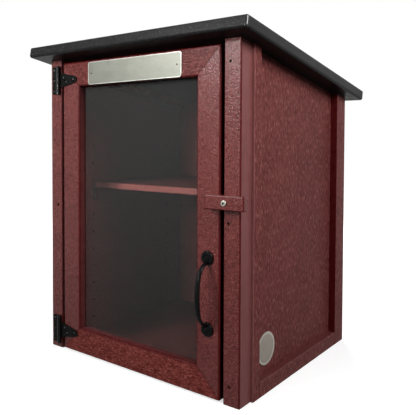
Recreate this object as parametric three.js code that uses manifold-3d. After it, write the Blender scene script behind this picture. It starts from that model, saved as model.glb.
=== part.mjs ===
// A street book exchange box: a small free-standing cabinet of recycled plastic board with a
// sloping roof, a glazed door on two T-hinges, a pull handle and a turn button that holds the
// door shut. Millimetres, +Z up, front towards -Y. The origin is the centre of the underside.

import * as THREE from 'three';
import { mergeVertices } from 'three/addons/utils/BufferGeometryUtils.js';
import { RoundedBoxGeometry } from 'three/addons/geometries/RoundedBoxGeometry.js';
import Module from 'manifold-3d';

const wasm = await Module();
wasm.setup();

// Overall size of the case, measured over the corner posts
const caseWidth = 432;
const caseDepth = 367;
const caseHeight = 546;
const roofPitch = THREE.MathUtils.degToRad(9.8);

// Stock that most pieces are cut from, and the hairlines between them
const boardThickness = 19;
const sheetThickness = 12.7;
const seam = 0.2;
const cutSeam = 0.3;
const overrun = 2;
const arcSteps = 4;

// Corner posts at the front
const postWidth = 29.4;
const postDepth = 30.3;
const postArris = 2.1;

// Side walls: a board set back behind proud trim
const sidePanelThickness = boardThickness;
const trimThickness = 13.5;
const trimProud = 4.6;
const trimArris = 0.8;
const frontTrimWidth = 19;
const rearTrimWidth = 37.3;
const baseTrimHeight = 24.2;

// Roof slab
const roofThickness = boardThickness;
const roofSideOverhang = 28.5;
const roofFrontOverhang = 31.5;
const roofRearOverhang = 33;
const roofEdgeRadius = 2.5;

// Rail behind the head of the door, and the cleats under the roof
const headRailHeight = 44;
const cleatSize = boardThickness;

// Door frame with mitred corners and a rebate for the pane
const doorThickness = boardThickness;
const doorArris = 3;
const memberWidth = 45;
const hingeGap = 4.4;
const latchGap = 6.9;
const headGap = 7;
const sillGap = 2.8;
const stopGap = 1.5;
const mitreGap = 0.3;
const rebateWidth = 9;
const revealDepth = sheetThickness;
const paneThickness = 3;
const paneClearance = 1;
const beadWidth = 8;

// Shelf and the row of holes that its supports can be moved along
const shelfThickness = sheetThickness;
const shelfFrontInset = 78;
const shelfSideClearance = 3.6;
const shelfCornerRadius = 5;
const shelfHoleStart = 40.2;
const shelfHolePitch = 34.4;
const shelfHoleHeadroom = 75;
const shelfRowShare = 0.65;
const shelfHoleRadius = 2.6;
const shelfHoleDepth = 9;
const frontColumnInset = 79.5;
const rearColumnInset = 45;
const supportClearance = 0.1;
const supportRise = 20;
const supportWidth = 9;
const supportThickness = 2;
const supportReach = 12;

// T-hinges of bent steel plate
const plateThickness = 1.8;
const knuckleRadius = 3.6;
const barrelSetback = 9.8;
const leafWidth = 19;
const leafHeight = 51.4;
const strapRootHeight = 27;
const strapReach = 49.5;
const strapTipHeight = 12;
const strapShoulder = 7;
const hingePinRadius = 2;
const hingePinHeadRadius = 3;
const hingePinHeadHeight = 1;
const pinClearance = 0.08;
const knuckleGap = 0.4;
const upperHingeDrop = 38.5;
const lowerHingeHeight = 35.4;
const leafScrewInset = 5;
const leafScrewSpacing = 20;
const strapScrewPlaces = [
  { reach: 12.8, rise: 4.8 },
  { reach: 20, rise: -3.5 },
  { reach: 40, rise: 0.6 },
];

// Countersunk screws in the hinges
const hingeScrewHeadRadius = 3.2;
const hingeScrewShankRadius = 1.6;
const hingeScrewHeadDepth = 1.5;
const hingeScrewLength = 16;
const screwClearance = 0.2;

// Trim screws sunk into the faces of the posts
const postScrewHeadRadius = 2.2;
const postScrewShankRadius = 1.2;
const postScrewHeadDepth = 1.6;
const postScrewSink = 3;
const postScrewLength = 45;
const upperPostScrewDrop = 34;
const lowerPostScrewHeight = 29;
const middlePostScrewShift = 2.6;

// Pull handle: two round feet joined by a bow, set below the middle of the case
const pullSpacing = 110;
const pullDrop = 110.4;
const pullFootRadius = 11;
const pullFootThickness = 4.5;
const pullFootDome = 1.2;
const pullBarWidth = 8;
const pullBarThickness = 5.6;
const pullProjection = 30;
const pullBowInset = 6;
const pullBowSteps = 22;
const pullScrewHeadRadius = 3.6;
const pullScrewHeadDepth = 2.2;
const pullScrewShankRadius = 1.9;
const pullScrewLength = 19;

// Turn button, its washer and its screw, set above the middle of the case
const buttonLength = 70.5;
const buttonHeight = 21.5;
const buttonThickness = sheetThickness;
const buttonEdge = 1.6;
const buttonPivotInset = 19.6;
const buttonPivotRise = 31.7;
const buttonReach = 36.7;
const buttonBoreClearance = 0.35;
const washerRadius = 7;
const washerThickness = 1;
const washerGap = 0.1;
const buttonScrewHeadRadius = 4.6;
const buttonScrewHeadHeight = 3;
const buttonScrewSocketRadius = 2;
const buttonScrewSocketDepth = 1.8;
const buttonScrewShankRadius = 2.4;
const buttonScrewBite = 22;

// Bare sign plate on the door and round disc on the right side
const signWidth = 216.3;
const signHeight = 40.5;
const signThickness = 1;
const signCornerRadius = 5;
const signInset = 3.5;
const signShift = 2;
const discRadius = 26.5;
const discThickness = 1.2;
const discInset = 89.4;
const discHeight = 63;

// Places worked out from the sizes above
const middleZ = caseHeight / 2;
const frontY = -caseDepth / 2;
const rearY = caseDepth / 2;
const sideX = caseWidth / 2;
const postInnerX = sideX - postWidth;
const panelOuterX = sideX + trimProud - trimThickness;
const panelInnerX = panelOuterX - sidePanelThickness;
const postScrewX = panelOuterX - sidePanelThickness / 2;
const behindPostY = frontY + postDepth + seam;
const backInnerY = rearY - boardThickness;
const doorLeftX = -postInnerX + hingeGap;
const doorRightX = postInnerX - latchGap;
const doorCentreX = (doorLeftX + doorRightX) / 2;
const doorWidth = doorRightX - doorLeftX;
const doorHeight = caseHeight - headGap - sillGap;
const doorCentreZ = sillGap + doorHeight / 2;
const stopY = frontY + doorThickness + stopGap;
const hingeX = doorLeftX - barrelSetback;
const hingeY = frontY - seam - knuckleRadius;
const upperHingeHeight = caseHeight - upperHingeDrop;
const pullX = doorRightX - memberWidth / 2;
const pullHeight = middleZ - pullDrop;
const buttonX = sideX - buttonPivotInset;
const buttonPivotHeight = middleZ + buttonPivotRise;
const buttonBackY = frontY - washerThickness - 2 * washerGap;

// Finishes, one fresh material for each piece
function plasticBoard() {
  return new THREE.MeshStandardMaterial({ color: 0x643634, roughness: 0.6, metalness: 0 });
}
function roofBoard() {
  return new THREE.MeshStandardMaterial({ color: 0x3b3b3c, roughness: 0.55, metalness: 0 });
}
function blackMetal() {
  return new THREE.MeshStandardMaterial({ color: 0x1a1a1b, roughness: 0.35, metalness: 0.6 });
}
function brightSteel() {
  return new THREE.MeshStandardMaterial({ color: 0xbab4a6, roughness: 0.35, metalness: 1 });
}
function brushedPlate() {
  return new THREE.MeshStandardMaterial({ color: 0xbec0b6, roughness: 0.45, metalness: 0.8 });
}
function clearPane() {
  return new THREE.MeshStandardMaterial({
    color: 0xdfe4e2, roughness: 0.08, metalness: 0, transparent: true, opacity: 0.35,
  });
}

// Solids from closed geometry, and back again
function toSolid(geometry) {
  const bare = geometry.clone();
  bare.deleteAttribute('normal');
  bare.deleteAttribute('uv');
  const merged = mergeVertices(bare);
  return new wasm.Manifold(new wasm.Mesh({
    numProp: 3,
    vertProperties: new Float32Array(merged.attributes.position.array),
    triVerts: new Uint32Array(merged.index.array),
  }));
}

function toGeometry(solid) {
  const mesh = solid.getMesh();
  const geometry = new THREE.BufferGeometry();
  geometry.setAttribute('position', new THREE.BufferAttribute(mesh.vertProperties, 3));
  geometry.setIndex(new THREE.BufferAttribute(mesh.triVerts, 1));
  geometry.computeVertexNormals();
  return geometry;
}

function cut(geometry, tools) {
  return toGeometry(tools.reduce((solid, tool) => solid.subtract(toSolid(tool)), toSolid(geometry)));
}

function join(geometry, others) {
  return toGeometry(others.reduce((solid, other) => solid.add(toSolid(other)), toSolid(geometry)));
}

// The outline of a rectangle centred on the origin. Each corner has its own radius, in the
// order front left, front right, rear right, rear left.
function roundedOutline(width, depth, radii) {
  const corners = [
    { x: -1, y: -1, start: Math.PI },
    { x: 1, y: -1, start: -Math.PI / 2 },
    { x: 1, y: 1, start: 0 },
    { x: -1, y: 1, start: Math.PI / 2 },
  ];
  return corners.flatMap((corner, index) => {
    const radius = radii[index];
    const steps = radius > 0 ? arcSteps : 0;
    return Array.from({ length: steps + 1 }, (unused, step) => {
      const angle = corner.start + (steps > 0 ? (step / steps) * (Math.PI / 2) : 0);
      return new THREE.Vector2(
        corner.x * (width / 2 - radius) + radius * Math.cos(angle),
        corner.y * (depth / 2 - radius) + radius * Math.sin(angle),
      );
    });
  });
}

function extrude(outline, length) {
  const settings = { depth: length, bevelEnabled: false, steps: 1 };
  return new THREE.ExtrudeGeometry(new THREE.Shape(outline), settings);
}

// A board standing on end: its outline lies flat and its bottom is at height zero
function uprightBoard(width, depth, height, radii) {
  return extrude(roundedOutline(width, depth, radii), height);
}

// A rod along Y that starts at the origin and runs towards +Y
function rodAlongY(radius, length, sides) {
  const rod = new THREE.CylinderGeometry(radius, radius, length, sides);
  return rod.translate(0, length / 2, 0);
}

// A turned piece about Y. The profile runs from the axis back to the axis, front first.
function turned(profile, sides) {
  return new THREE.LatheGeometry(profile.map(([radius, y]) => new THREE.Vector2(radius, y)), sides);
}

function add(group, name, material, geometry, place) {
  const mesh = new THREE.Mesh(geometry, material);
  mesh.name = name;
  mesh.position.copy(place);
  group.add(mesh);
}

function at(x, y, z) {
  return new THREE.Vector3(x, y, z);
}

// Height of the roof's underside at a distance from the front, less its hairline
function roofLine(y) {
  return caseHeight - cutSeam - (y - frontY) * Math.tan(roofPitch);
}

// Cuts a board off along the underside of the roof
function fitUnderRoof(geometry, place) {
  const rearLimit = rearY + overrun;
  const frontLimit = frontY - overrun;
  const top = caseHeight + overrun;
  const wedge = extrude([
    new THREE.Vector2(frontLimit, roofLine(frontLimit)),
    new THREE.Vector2(rearLimit, roofLine(rearLimit)),
    new THREE.Vector2(rearLimit, top),
    new THREE.Vector2(frontLimit, top),
  ], caseWidth + 2 * boardThickness);
  wedge.rotateX(Math.PI / 2);
  wedge.rotateZ(Math.PI / 2);
  wedge.translate(-(sideX + boardThickness) - place.x, -place.y, -place.z);
  return cut(geometry, [wedge]);
}

// Screws and their holes
const hingeScrewSides = 12;
const postScrewSides = 10;

function countersunkScrew(headRadius, shankRadius, headDepth, length, sides) {
  return turned([
    [0, 0],
    [headRadius, 0],
    [shankRadius, headDepth],
    [shankRadius, length - shankRadius],
    [0, length],
  ], sides);
}

function hingeScrew() {
  return countersunkScrew(
    hingeScrewHeadRadius, hingeScrewShankRadius, hingeScrewHeadDepth, hingeScrewLength, hingeScrewSides,
  );
}

// The hole that a hinge screw needs, in the plate and in the board behind it
function hingeScrewHole(place) {
  const headRadius = hingeScrewHeadRadius + screwClearance;
  const shankRadius = hingeScrewShankRadius + screwClearance;
  const slope = (headRadius - shankRadius) / hingeScrewHeadDepth;
  const hole = turned([
    [0, -overrun],
    [headRadius + slope * overrun, -overrun],
    [shankRadius, hingeScrewHeadDepth],
    [shankRadius, hingeScrewLength + screwClearance],
    [0, hingeScrewLength + screwClearance],
  ], hingeScrewSides);
  return hole.translate(place.x, place.y, place.z);
}

function postScrew() {
  return countersunkScrew(
    postScrewHeadRadius, postScrewShankRadius, postScrewHeadDepth, postScrewLength, postScrewSides,
  );
}

function postScrewHole(z) {
  const headRadius = postScrewHeadRadius + screwClearance;
  const hole = rodAlongY(headRadius, postScrewSink + postScrewHeadDepth + overrun, postScrewSides);
  const shank = rodAlongY(
    postScrewShankRadius + screwClearance, postScrewSink + postScrewLength + overrun, postScrewSides,
  );
  return [hole, shank].map((tool) => tool.translate(0, -overrun, z));
}

// Places of the hinges and of the screws in their leaves
const hinges = [
  { name: 'upper', z: upperHingeHeight },
  { name: 'lower', z: lowerHingeHeight },
];
const plateFrontY = frontY - seam - plateThickness;
const leafScrewX = hingeX - leafWidth + leafScrewInset;
const leafScrewRows = [
  { name: 'top', rise: leafScrewSpacing },
  { name: 'middle', rise: 0 },
  { name: 'bottom', rise: -leafScrewSpacing },
];
const strapScrewRows = [
  { name: 'top', place: strapScrewPlaces[0] },
  { name: 'bottom', place: strapScrewPlaces[1] },
  { name: 'tip', place: strapScrewPlaces[2] },
];

// The case
const box = new THREE.Group();
const sides = [{ name: 'left', sign: -1 }, { name: 'right', sign: 1 }];

// The hinge leaves leave room for one screw only on the left post
const postScrewPlaces = {
  left: [{ name: 'middle', x: -postScrewX, z: middleZ }],
  right: [
    { name: 'upper', x: postScrewX, z: caseHeight - upperPostScrewDrop },
    { name: 'middle', x: postScrewX - middlePostScrewShift, z: middleZ },
    { name: 'lower', x: postScrewX, z: lowerPostScrewHeight },
  ],
};

// The holes for one side's post screws, in a board whose own origin is at the given place
function postScrewHoles(side, place) {
  return postScrewPlaces[side.name].flatMap((screw) => postScrewHole(screw.z).map(
    (tool) => tool.translate(screw.x - place.x, frontY - place.y, 0),
  ));
}

function cornerPosts() {
  for (const side of sides) {
    const place = at(side.sign * (sideX - postWidth / 2), frontY + postDepth / 2, 0);
    const board = uprightBoard(postWidth, postDepth, caseHeight, [postArris, postArris, 0, 0]);
    const tools = postScrewHoles(side, place);
    if (side.sign > 0) {
      const buttonHole = rodAlongY(
        buttonScrewShankRadius + screwClearance, buttonScrewBite + overrun, hingeScrewSides,
      );
      buttonHole.translate(buttonX - place.x, -postDepth / 2 - overrun, buttonPivotHeight);
      tools.push(buttonHole);
    } else {
      for (const hinge of hinges) {
        for (const row of leafScrewRows) {
          const hole = at(leafScrewX, plateFrontY, hinge.z + row.rise).sub(place);
          tools.push(hingeScrewHole(hole));
        }
      }
    }
    add(box, `${side.name}_corner_post`, plasticBoard(), cut(fitUnderRoof(board, place), tools), place);
  }
}

function postScrews() {
  for (const side of sides) {
    for (const screw of postScrewPlaces[side.name]) {
      const place = at(screw.x, frontY + postScrewSink, screw.z);
      add(box, `${side.name}_post_screw_${screw.name}`, brightSteel(), postScrew(), place);
    }
  }
}

// The holes stop below the cleats at the rear, and the shelf's supports sit in one row of them
const shelfHoleTop = roofLine(backInnerY) - cleatSize - shelfHoleHeadroom;
const shelfHoleCount = Math.floor((shelfHoleTop - shelfHoleStart) / shelfHolePitch) + 1;
const pegHeight = shelfHoleStart + Math.floor(shelfHoleCount * shelfRowShare) * shelfHolePitch;

// The two columns of holes in a side panel, drilled from its inner face
const shelfColumns = [
  { name: 'front', y: frontY + frontColumnInset },
  { name: 'rear', y: backInnerY - rearColumnInset },
];

function shelfHoles(side, place) {
  const holes = [];
  for (const column of shelfColumns) {
    for (let row = 0; row < shelfHoleCount; row += 1) {
      const hole = rodAlongY(shelfHoleRadius, shelfHoleDepth + overrun, postScrewSides);
      hole.rotateZ(-side.sign * Math.PI / 2);
      hole.translate(
        side.sign * (panelInnerX - overrun) - place.x,
        column.y - place.y,
        shelfHoleStart + row * shelfHolePitch,
      );
      holes.push(hole);
    }
  }
  return holes;
}

function sideWalls() {
  const panelDepth = rearY - behindPostY;
  const trimX = panelOuterX + seam + (trimThickness - seam) / 2;
  const trimWidths = { front: frontTrimWidth - seam, rear: rearTrimWidth };
  const trimStarts = { front: behindPostY, rear: rearY - rearTrimWidth };
  for (const side of sides) {
    const panelPlace = at(side.sign * postScrewX, rearY - panelDepth / 2, 0);
    const board = uprightBoard(sidePanelThickness, panelDepth, caseHeight, [0, 0, 0, 0]);
    const holes = [...shelfHoles(side, panelPlace), ...postScrewHoles(side, panelPlace)];
    const panel = cut(fitUnderRoof(board, panelPlace), holes);
    add(box, `${side.name}_side_panel`, plasticBoard(), panel, panelPlace);

    // The outer arrises of each trim board are eased
    const radii = side.sign > 0 ? [0, trimArris, trimArris, 0] : [trimArris, 0, 0, trimArris];
    for (const end of ['front', 'rear']) {
      const width = trimWidths[end];
      const place = at(side.sign * trimX, trimStarts[end] + width / 2, 0);
      const trim = uprightBoard(trimThickness - seam, width, caseHeight, radii);
      add(box, `${side.name}_${end}_trim`, plasticBoard(), fitUnderRoof(trim, place), place);
    }

    const baseStart = trimStarts.front + trimWidths.front + seam;
    const baseLength = trimStarts.rear - seam - baseStart;
    const baseRadii = side.sign > 0 ? [0, 0, trimArris, 0] : [0, 0, 0, trimArris];
    const base = extrude(roundedOutline(trimThickness - seam, baseTrimHeight, baseRadii), baseLength);
    base.rotateX(Math.PI / 2);
    const basePlace = at(side.sign * trimX, baseStart + baseLength, baseTrimHeight / 2);
    add(box, `${side.name}_base_trim`, plasticBoard(), base, basePlace);
  }
}

function backAndFloor() {
  const width = 2 * (panelInnerX - seam);
  const backPlace = at(0, rearY - boardThickness / 2, 0);
  const back = uprightBoard(width, boardThickness, caseHeight, [0, 0, 0, 0]);
  add(box, 'back_panel', plasticBoard(), fitUnderRoof(back, backPlace), backPlace);

  // The floor is notched round the posts, and its front edge stops the door
  const frontHalf = postInnerX - seam;
  const rearHalf = panelInnerX - seam;
  const floor = extrude([
    new THREE.Vector2(-frontHalf, stopY),
    new THREE.Vector2(frontHalf, stopY),
    new THREE.Vector2(frontHalf, behindPostY),
    new THREE.Vector2(rearHalf, behindPostY),
    new THREE.Vector2(rearHalf, backInnerY - seam),
    new THREE.Vector2(-rearHalf, backInnerY - seam),
    new THREE.Vector2(-rearHalf, behindPostY),
    new THREE.Vector2(-frontHalf, behindPostY),
  ], sheetThickness);
  add(box, 'floor_panel', plasticBoard(), floor, at(0, 0, 0));
}

function headRail() {
  const place = at(0, stopY + boardThickness / 2, caseHeight - headRailHeight);
  const rail = uprightBoard(2 * (postInnerX - seam), boardThickness, headRailHeight, [0, 0, 0, 0]);
  add(box, 'head_rail', plasticBoard(), fitUnderRoof(rail, place), place);
}

function roofCleats() {
  const startY = stopY + boardThickness + seam;
  const endY = backInnerY - seam;
  for (const side of sides) {
    const cleat = extrude([
      new THREE.Vector2(startY, roofLine(startY) - cleatSize),
      new THREE.Vector2(endY, roofLine(endY) - cleatSize),
      new THREE.Vector2(endY, roofLine(endY)),
      new THREE.Vector2(startY, roofLine(startY)),
    ], cleatSize);
    cleat.rotateX(Math.PI / 2);
    cleat.rotateZ(Math.PI / 2);
    const innerX = panelInnerX - seam - cleatSize;
    const place = at(side.sign > 0 ? innerX : -innerX - cleatSize, 0, 0);
    add(box, `${side.name}_roof_cleat`, plasticBoard(), cleat, place);
  }
}

function roof() {
  const slope = new THREE.Group();
  slope.position.set(0, frontY, caseHeight);
  slope.rotation.x = -roofPitch;
  const bodyLength = caseDepth / Math.cos(roofPitch);
  const length = roofFrontOverhang + bodyLength + roofRearOverhang;
  const width = caseWidth + 2 * roofSideOverhang;
  const slab = new RoundedBoxGeometry(width, length, roofThickness, 2, roofEdgeRadius);
  add(slope, 'roof_panel', roofBoard(), slab, at(0, length / 2 - roofFrontOverhang, roofThickness / 2));
  box.add(slope);
}

// The shelf rests on four supports, each a peg with an upright leg and a ledge
function shelf() {
  const frontEdge = frontY + shelfFrontInset;
  const depth = backInnerY - supportThickness - frontEdge;
  const width = 2 * (panelInnerX - shelfSideClearance);
  const corners = [shelfCornerRadius, shelfCornerRadius, 0, 0];
  const board = uprightBoard(width, depth, shelfThickness, corners);
  const bottom = pegHeight + supportRise + seam;
  add(box, 'shelf_panel', plasticBoard(), board, at(0, frontEdge + depth / 2, bottom));

  const legFoot = -supportWidth / 2;
  for (const side of sides) {
    for (const column of shelfColumns) {
      const bracket = extrude([
        new THREE.Vector2(0, legFoot),
        new THREE.Vector2(supportThickness, legFoot),
        new THREE.Vector2(supportThickness, supportRise - supportThickness),
        new THREE.Vector2(supportReach, supportRise - supportThickness),
        new THREE.Vector2(supportReach, supportRise),
        new THREE.Vector2(0, supportRise),
      ], supportWidth);
      bracket.rotateX(Math.PI / 2);
      bracket.translate(0, supportWidth / 2, 0);
      const pegLength = shelfHoleDepth - seam - supportClearance;
      const peg = rodAlongY(shelfHoleRadius - supportClearance, pegLength + supportThickness, postScrewSides);
      peg.rotateZ(Math.PI / 2);
      peg.translate(supportThickness, 0, 0);
      const support = join(bracket, [peg]);
      if (side.sign > 0) {
        support.rotateZ(Math.PI);
      }
      const place = at(side.sign * (panelInnerX - seam), column.y, pegHeight);
      add(box, `${side.name}_${column.name}_shelf_pin`, brightSteel(), support, place);
    }
  }
}

// A knuckle of a hinge: a ring about the pin, standing on the given height
function knuckle(bottom, top) {
  const outer = new THREE.CylinderGeometry(knuckleRadius, knuckleRadius, top - bottom, 20);
  outer.rotateX(Math.PI / 2);
  return outer.translate(0, 0, (bottom + top) / 2);
}

function pinBore() {
  const bore = new THREE.CylinderGeometry(
    hingePinRadius + pinClearance, hingePinRadius + pinClearance, leafHeight + 2 * overrun, 20,
  );
  return bore.rotateX(Math.PI / 2);
}

// Places inside a hinge are counted from the middle of its pin
const platePlaneY = frontY - seam - hingeY;
const knuckleSplit = strapRootHeight / 2 + knuckleGap;

function hingeLeaves() {
  for (const hinge of hinges) {
    const place = at(hingeX, hingeY, hinge.z);
    const plate = new THREE.BoxGeometry(leafWidth, plateThickness, leafHeight);
    plate.translate(-leafWidth / 2, platePlaneY - plateThickness / 2, 0);
    const knuckles = [knuckle(knuckleSplit, leafHeight / 2), knuckle(-leafHeight / 2, -knuckleSplit)];
    const relief = new THREE.BoxGeometry(2 * (knuckleRadius + knuckleGap), 4 * knuckleRadius, 2 * knuckleSplit);
    const holes = leafScrewRows.map((row) => hingeScrewHole(
      at(leafScrewX - hingeX, plateFrontY - hingeY, row.rise),
    ));
    const leaf = cut(join(plate, knuckles), [pinBore(), relief, ...holes]);
    add(box, `${hinge.name}_hinge_leaf`, blackMetal(), leaf, place);

    for (const row of leafScrewRows) {
      const screwPlace = at(leafScrewX, plateFrontY, hinge.z + row.rise);
      add(box, `${hinge.name}_leaf_screw_${row.name}`, blackMetal(), hingeScrew(), screwPlace);
    }

    const halfPin = leafHeight / 2 + seam;
    const pin = turned([
      [0, -halfPin - hingePinHeadHeight],
      [hingePinHeadRadius, -halfPin - hingePinHeadHeight / 2],
      [hingePinHeadRadius, -halfPin],
      [hingePinRadius, -halfPin],
      [hingePinRadius, halfPin],
      [hingePinHeadRadius, halfPin],
      [hingePinHeadRadius, halfPin + hingePinHeadHeight / 2],
      [0, halfPin + hingePinHeadHeight],
    ], 20);
    pin.rotateX(Math.PI / 2);
    add(box, `${hinge.name}_hinge_pin`, blackMetal(), pin, place);
  }
}

function roundDisc() {
  const disc = turned([
    [0, 0],
    [discRadius, 0],
    [discRadius, discThickness / 2],
    [discRadius - discThickness / 2, discThickness],
    [0, discThickness],
  ], 40);
  disc.rotateZ(-Math.PI / 2);
  add(box, 'round_plate', brushedPlate(), disc, at(panelOuterX + seam, frontY + discInset, discHeight));
}

// The screw and the washer that the turn button swings on
function buttonFixings() {
  const headBackY = buttonBackY - buttonThickness - washerGap;
  const shankLength = frontY + buttonScrewBite - screwClearance - headBackY;
  const screw = turned([
    [0, buttonScrewSocketDepth - buttonScrewHeadHeight],
    [buttonScrewSocketRadius, buttonScrewSocketDepth - buttonScrewHeadHeight],
    [buttonScrewSocketRadius, -buttonScrewHeadHeight],
    [(buttonScrewSocketRadius + buttonScrewHeadRadius) / 2, -buttonScrewHeadHeight],
    [buttonScrewHeadRadius, -buttonScrewHeadHeight / 2],
    [buttonScrewHeadRadius, 0],
    [buttonScrewShankRadius, 0],
    [buttonScrewShankRadius, shankLength],
    [0, shankLength],
  ], 24);
  add(box, 'button_screw', brightSteel(), screw, at(buttonX, headBackY, buttonPivotHeight));

  const washer = cut(
    rodAlongY(washerRadius, washerThickness, 24),
    [rodAlongY(buttonScrewShankRadius + screwClearance, washerThickness + 2 * overrun, 24)
      .translate(0, -overrun, 0)],
  );
  const washerPlace = at(buttonX, frontY - washerGap - washerThickness, buttonPivotHeight);
  add(box, 'button_washer', blackMetal(), washer, washerPlace);
}

// The door hangs in a group whose origin is the middle of the hinge axis, at floor height
const door = new THREE.Group();
door.position.set(hingeX, hingeY, 0);
const inDoor = (x, y, z) => at(x - hingeX, y - hingeY, z);

// A frame member lies along Z with its outer edge at x = 0 and its face at y = 0
function frameMember(length) {
  const outline = roundedOutline(memberWidth, doorThickness, [doorArris, doorArris, 0, 0]);
  const section = outline.map((point) => point.add(
    new THREE.Vector2(memberWidth / 2, doorThickness / 2),
  ));
  const rebate = new THREE.BoxGeometry(rebateWidth + overrun, doorThickness, length + 2 * overrun);
  rebate.translate(
    memberWidth - rebateWidth + (rebateWidth + overrun) / 2, revealDepth + doorThickness / 2, length / 2,
  );
  const member = cut(extrude(section, length), [rebate]);
  member.translate(0, 0, -length / 2);

  // Each end is sheared back by the distance from the outer edge, which makes the mitre
  const position = member.attributes.position;
  for (let index = 0; index < position.count; index += 1) {
    const end = Math.sign(position.getZ(index));
    const setback = position.getX(index) + mitreGap / Math.SQRT2;
    position.setZ(index, position.getZ(index) - end * setback);
  }
  return member;
}

function doorFrame() {
  const members = [
    { name: 'door_left_stile', length: doorHeight, turn: 0, x: doorLeftX, z: doorCentreZ },
    { name: 'door_bottom_rail', length: doorWidth, turn: -Math.PI / 2, x: doorCentreX, z: sillGap },
    { name: 'door_right_stile', length: doorHeight, turn: Math.PI, x: doorRightX, z: doorCentreZ },
    {
      name: 'door_top_rail', length: doorWidth, turn: Math.PI / 2, x: doorCentreX, z: sillGap + doorHeight,
    },
  ];
  const strapHoles = hinges.flatMap((hinge) => strapScrewRows.map(
    (row) => at(hingeX + row.place.reach, plateFrontY, hinge.z + row.place.rise),
  ));
  const pullHoles = pullFootHeights.map((z) => at(pullX, frontY, z));
  for (const member of members) {
    const place = at(member.x, frontY, member.z);
    const board = frameMember(member.length).rotateY(member.turn);
    const holes = strapHoles.map((hole) => hingeScrewHole(hole.clone().sub(place)));
    for (const hole of pullHoles) {
      const bore = rodAlongY(
        pullScrewShankRadius + screwClearance, pullScrewLength - pullFootThickness + overrun, 12,
      );
      bore.translate(hole.x - place.x, hole.y - place.y - overrun, hole.z - place.z);
      holes.push(bore);
    }
    add(door, member.name, plasticBoard(), cut(board, holes), inDoor(place.x, place.y, place.z));
  }
}

// The pane drops into the rebate from behind, and four beads hold it there
function glazing() {
  const rebateHalfWidth = doorWidth / 2 - memberWidth + rebateWidth;
  const rebateHalfHeight = doorHeight / 2 - memberWidth + rebateWidth;
  const paneFrontY = frontY + revealDepth + seam;
  const pane = new THREE.BoxGeometry(
    2 * (rebateHalfWidth - paneClearance), paneThickness, 2 * (rebateHalfHeight - paneClearance),
  );
  add(door, 'door_pane', clearPane(), pane, inDoor(doorCentreX, paneFrontY + paneThickness / 2, doorCentreZ));

  const beadFrontY = paneFrontY + paneThickness + seam;
  const beadThickness = frontY + doorThickness - beadFrontY;
  const beadY = beadFrontY + beadThickness / 2;
  const uprightLength = 2 * (rebateHalfHeight - seam);
  const crossLength = 2 * (rebateHalfWidth - 2 * seam - beadWidth);
  for (const side of sides) {
    const bead = new THREE.BoxGeometry(beadWidth, beadThickness, uprightLength);
    const beadX = doorCentreX + side.sign * (rebateHalfWidth - seam - beadWidth / 2);
    add(door, `${side.name}_pane_bead`, plasticBoard(), bead, inDoor(beadX, beadY, doorCentreZ));
  }
  for (const [name, sign] of [['top', 1], ['bottom', -1]]) {
    const bead = new THREE.BoxGeometry(crossLength, beadThickness, beadWidth);
    const beadZ = doorCentreZ + sign * (rebateHalfHeight - seam - beadWidth / 2);
    add(door, `${name}_pane_bead`, plasticBoard(), bead, inDoor(doorCentreX, beadY, beadZ));
  }
}

// A strap tapers from the full root height at its shoulder to a blunt rounded tip
function hingeStraps() {
  const rootHalf = strapRootHeight / 2;
  const tipHalf = strapTipHeight / 2;
  const tipChamfer = tipHalf / 2;
  for (const hinge of hinges) {
    const outline = [
      new THREE.Vector2(0, -rootHalf),
      new THREE.Vector2(strapShoulder, -rootHalf),
      new THREE.Vector2(strapReach - tipChamfer, -tipHalf),
      new THREE.Vector2(strapReach, -tipHalf + tipChamfer),
      new THREE.Vector2(strapReach, tipHalf - tipChamfer),
      new THREE.Vector2(strapReach - tipChamfer, tipHalf),
      new THREE.Vector2(strapShoulder, rootHalf),
      new THREE.Vector2(0, rootHalf),
    ];
    const plate = extrude(outline, plateThickness);
    plate.rotateX(Math.PI / 2);
    plate.translate(0, platePlaneY, 0);
    const holes = strapScrewRows.map((row) => hingeScrewHole(
      at(row.place.reach, plateFrontY - hingeY, row.place.rise),
    ));
    const strap = cut(join(plate, [knuckle(-rootHalf, rootHalf)]), [pinBore(), ...holes]);
    add(door, `${hinge.name}_hinge_strap`, blackMetal(), strap, at(0, 0, hinge.z));
    for (const row of strapScrewRows) {
      const place = inDoor(hingeX + row.place.reach, plateFrontY, hinge.z + row.place.rise);
      add(door, `${hinge.name}_strap_screw_${row.name}`, blackMetal(), hingeScrew(), place);
    }
  }
}

// The pull handle
const pullFootHeights = [pullHeight + pullSpacing / 2, pullHeight - pullSpacing / 2];

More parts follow.
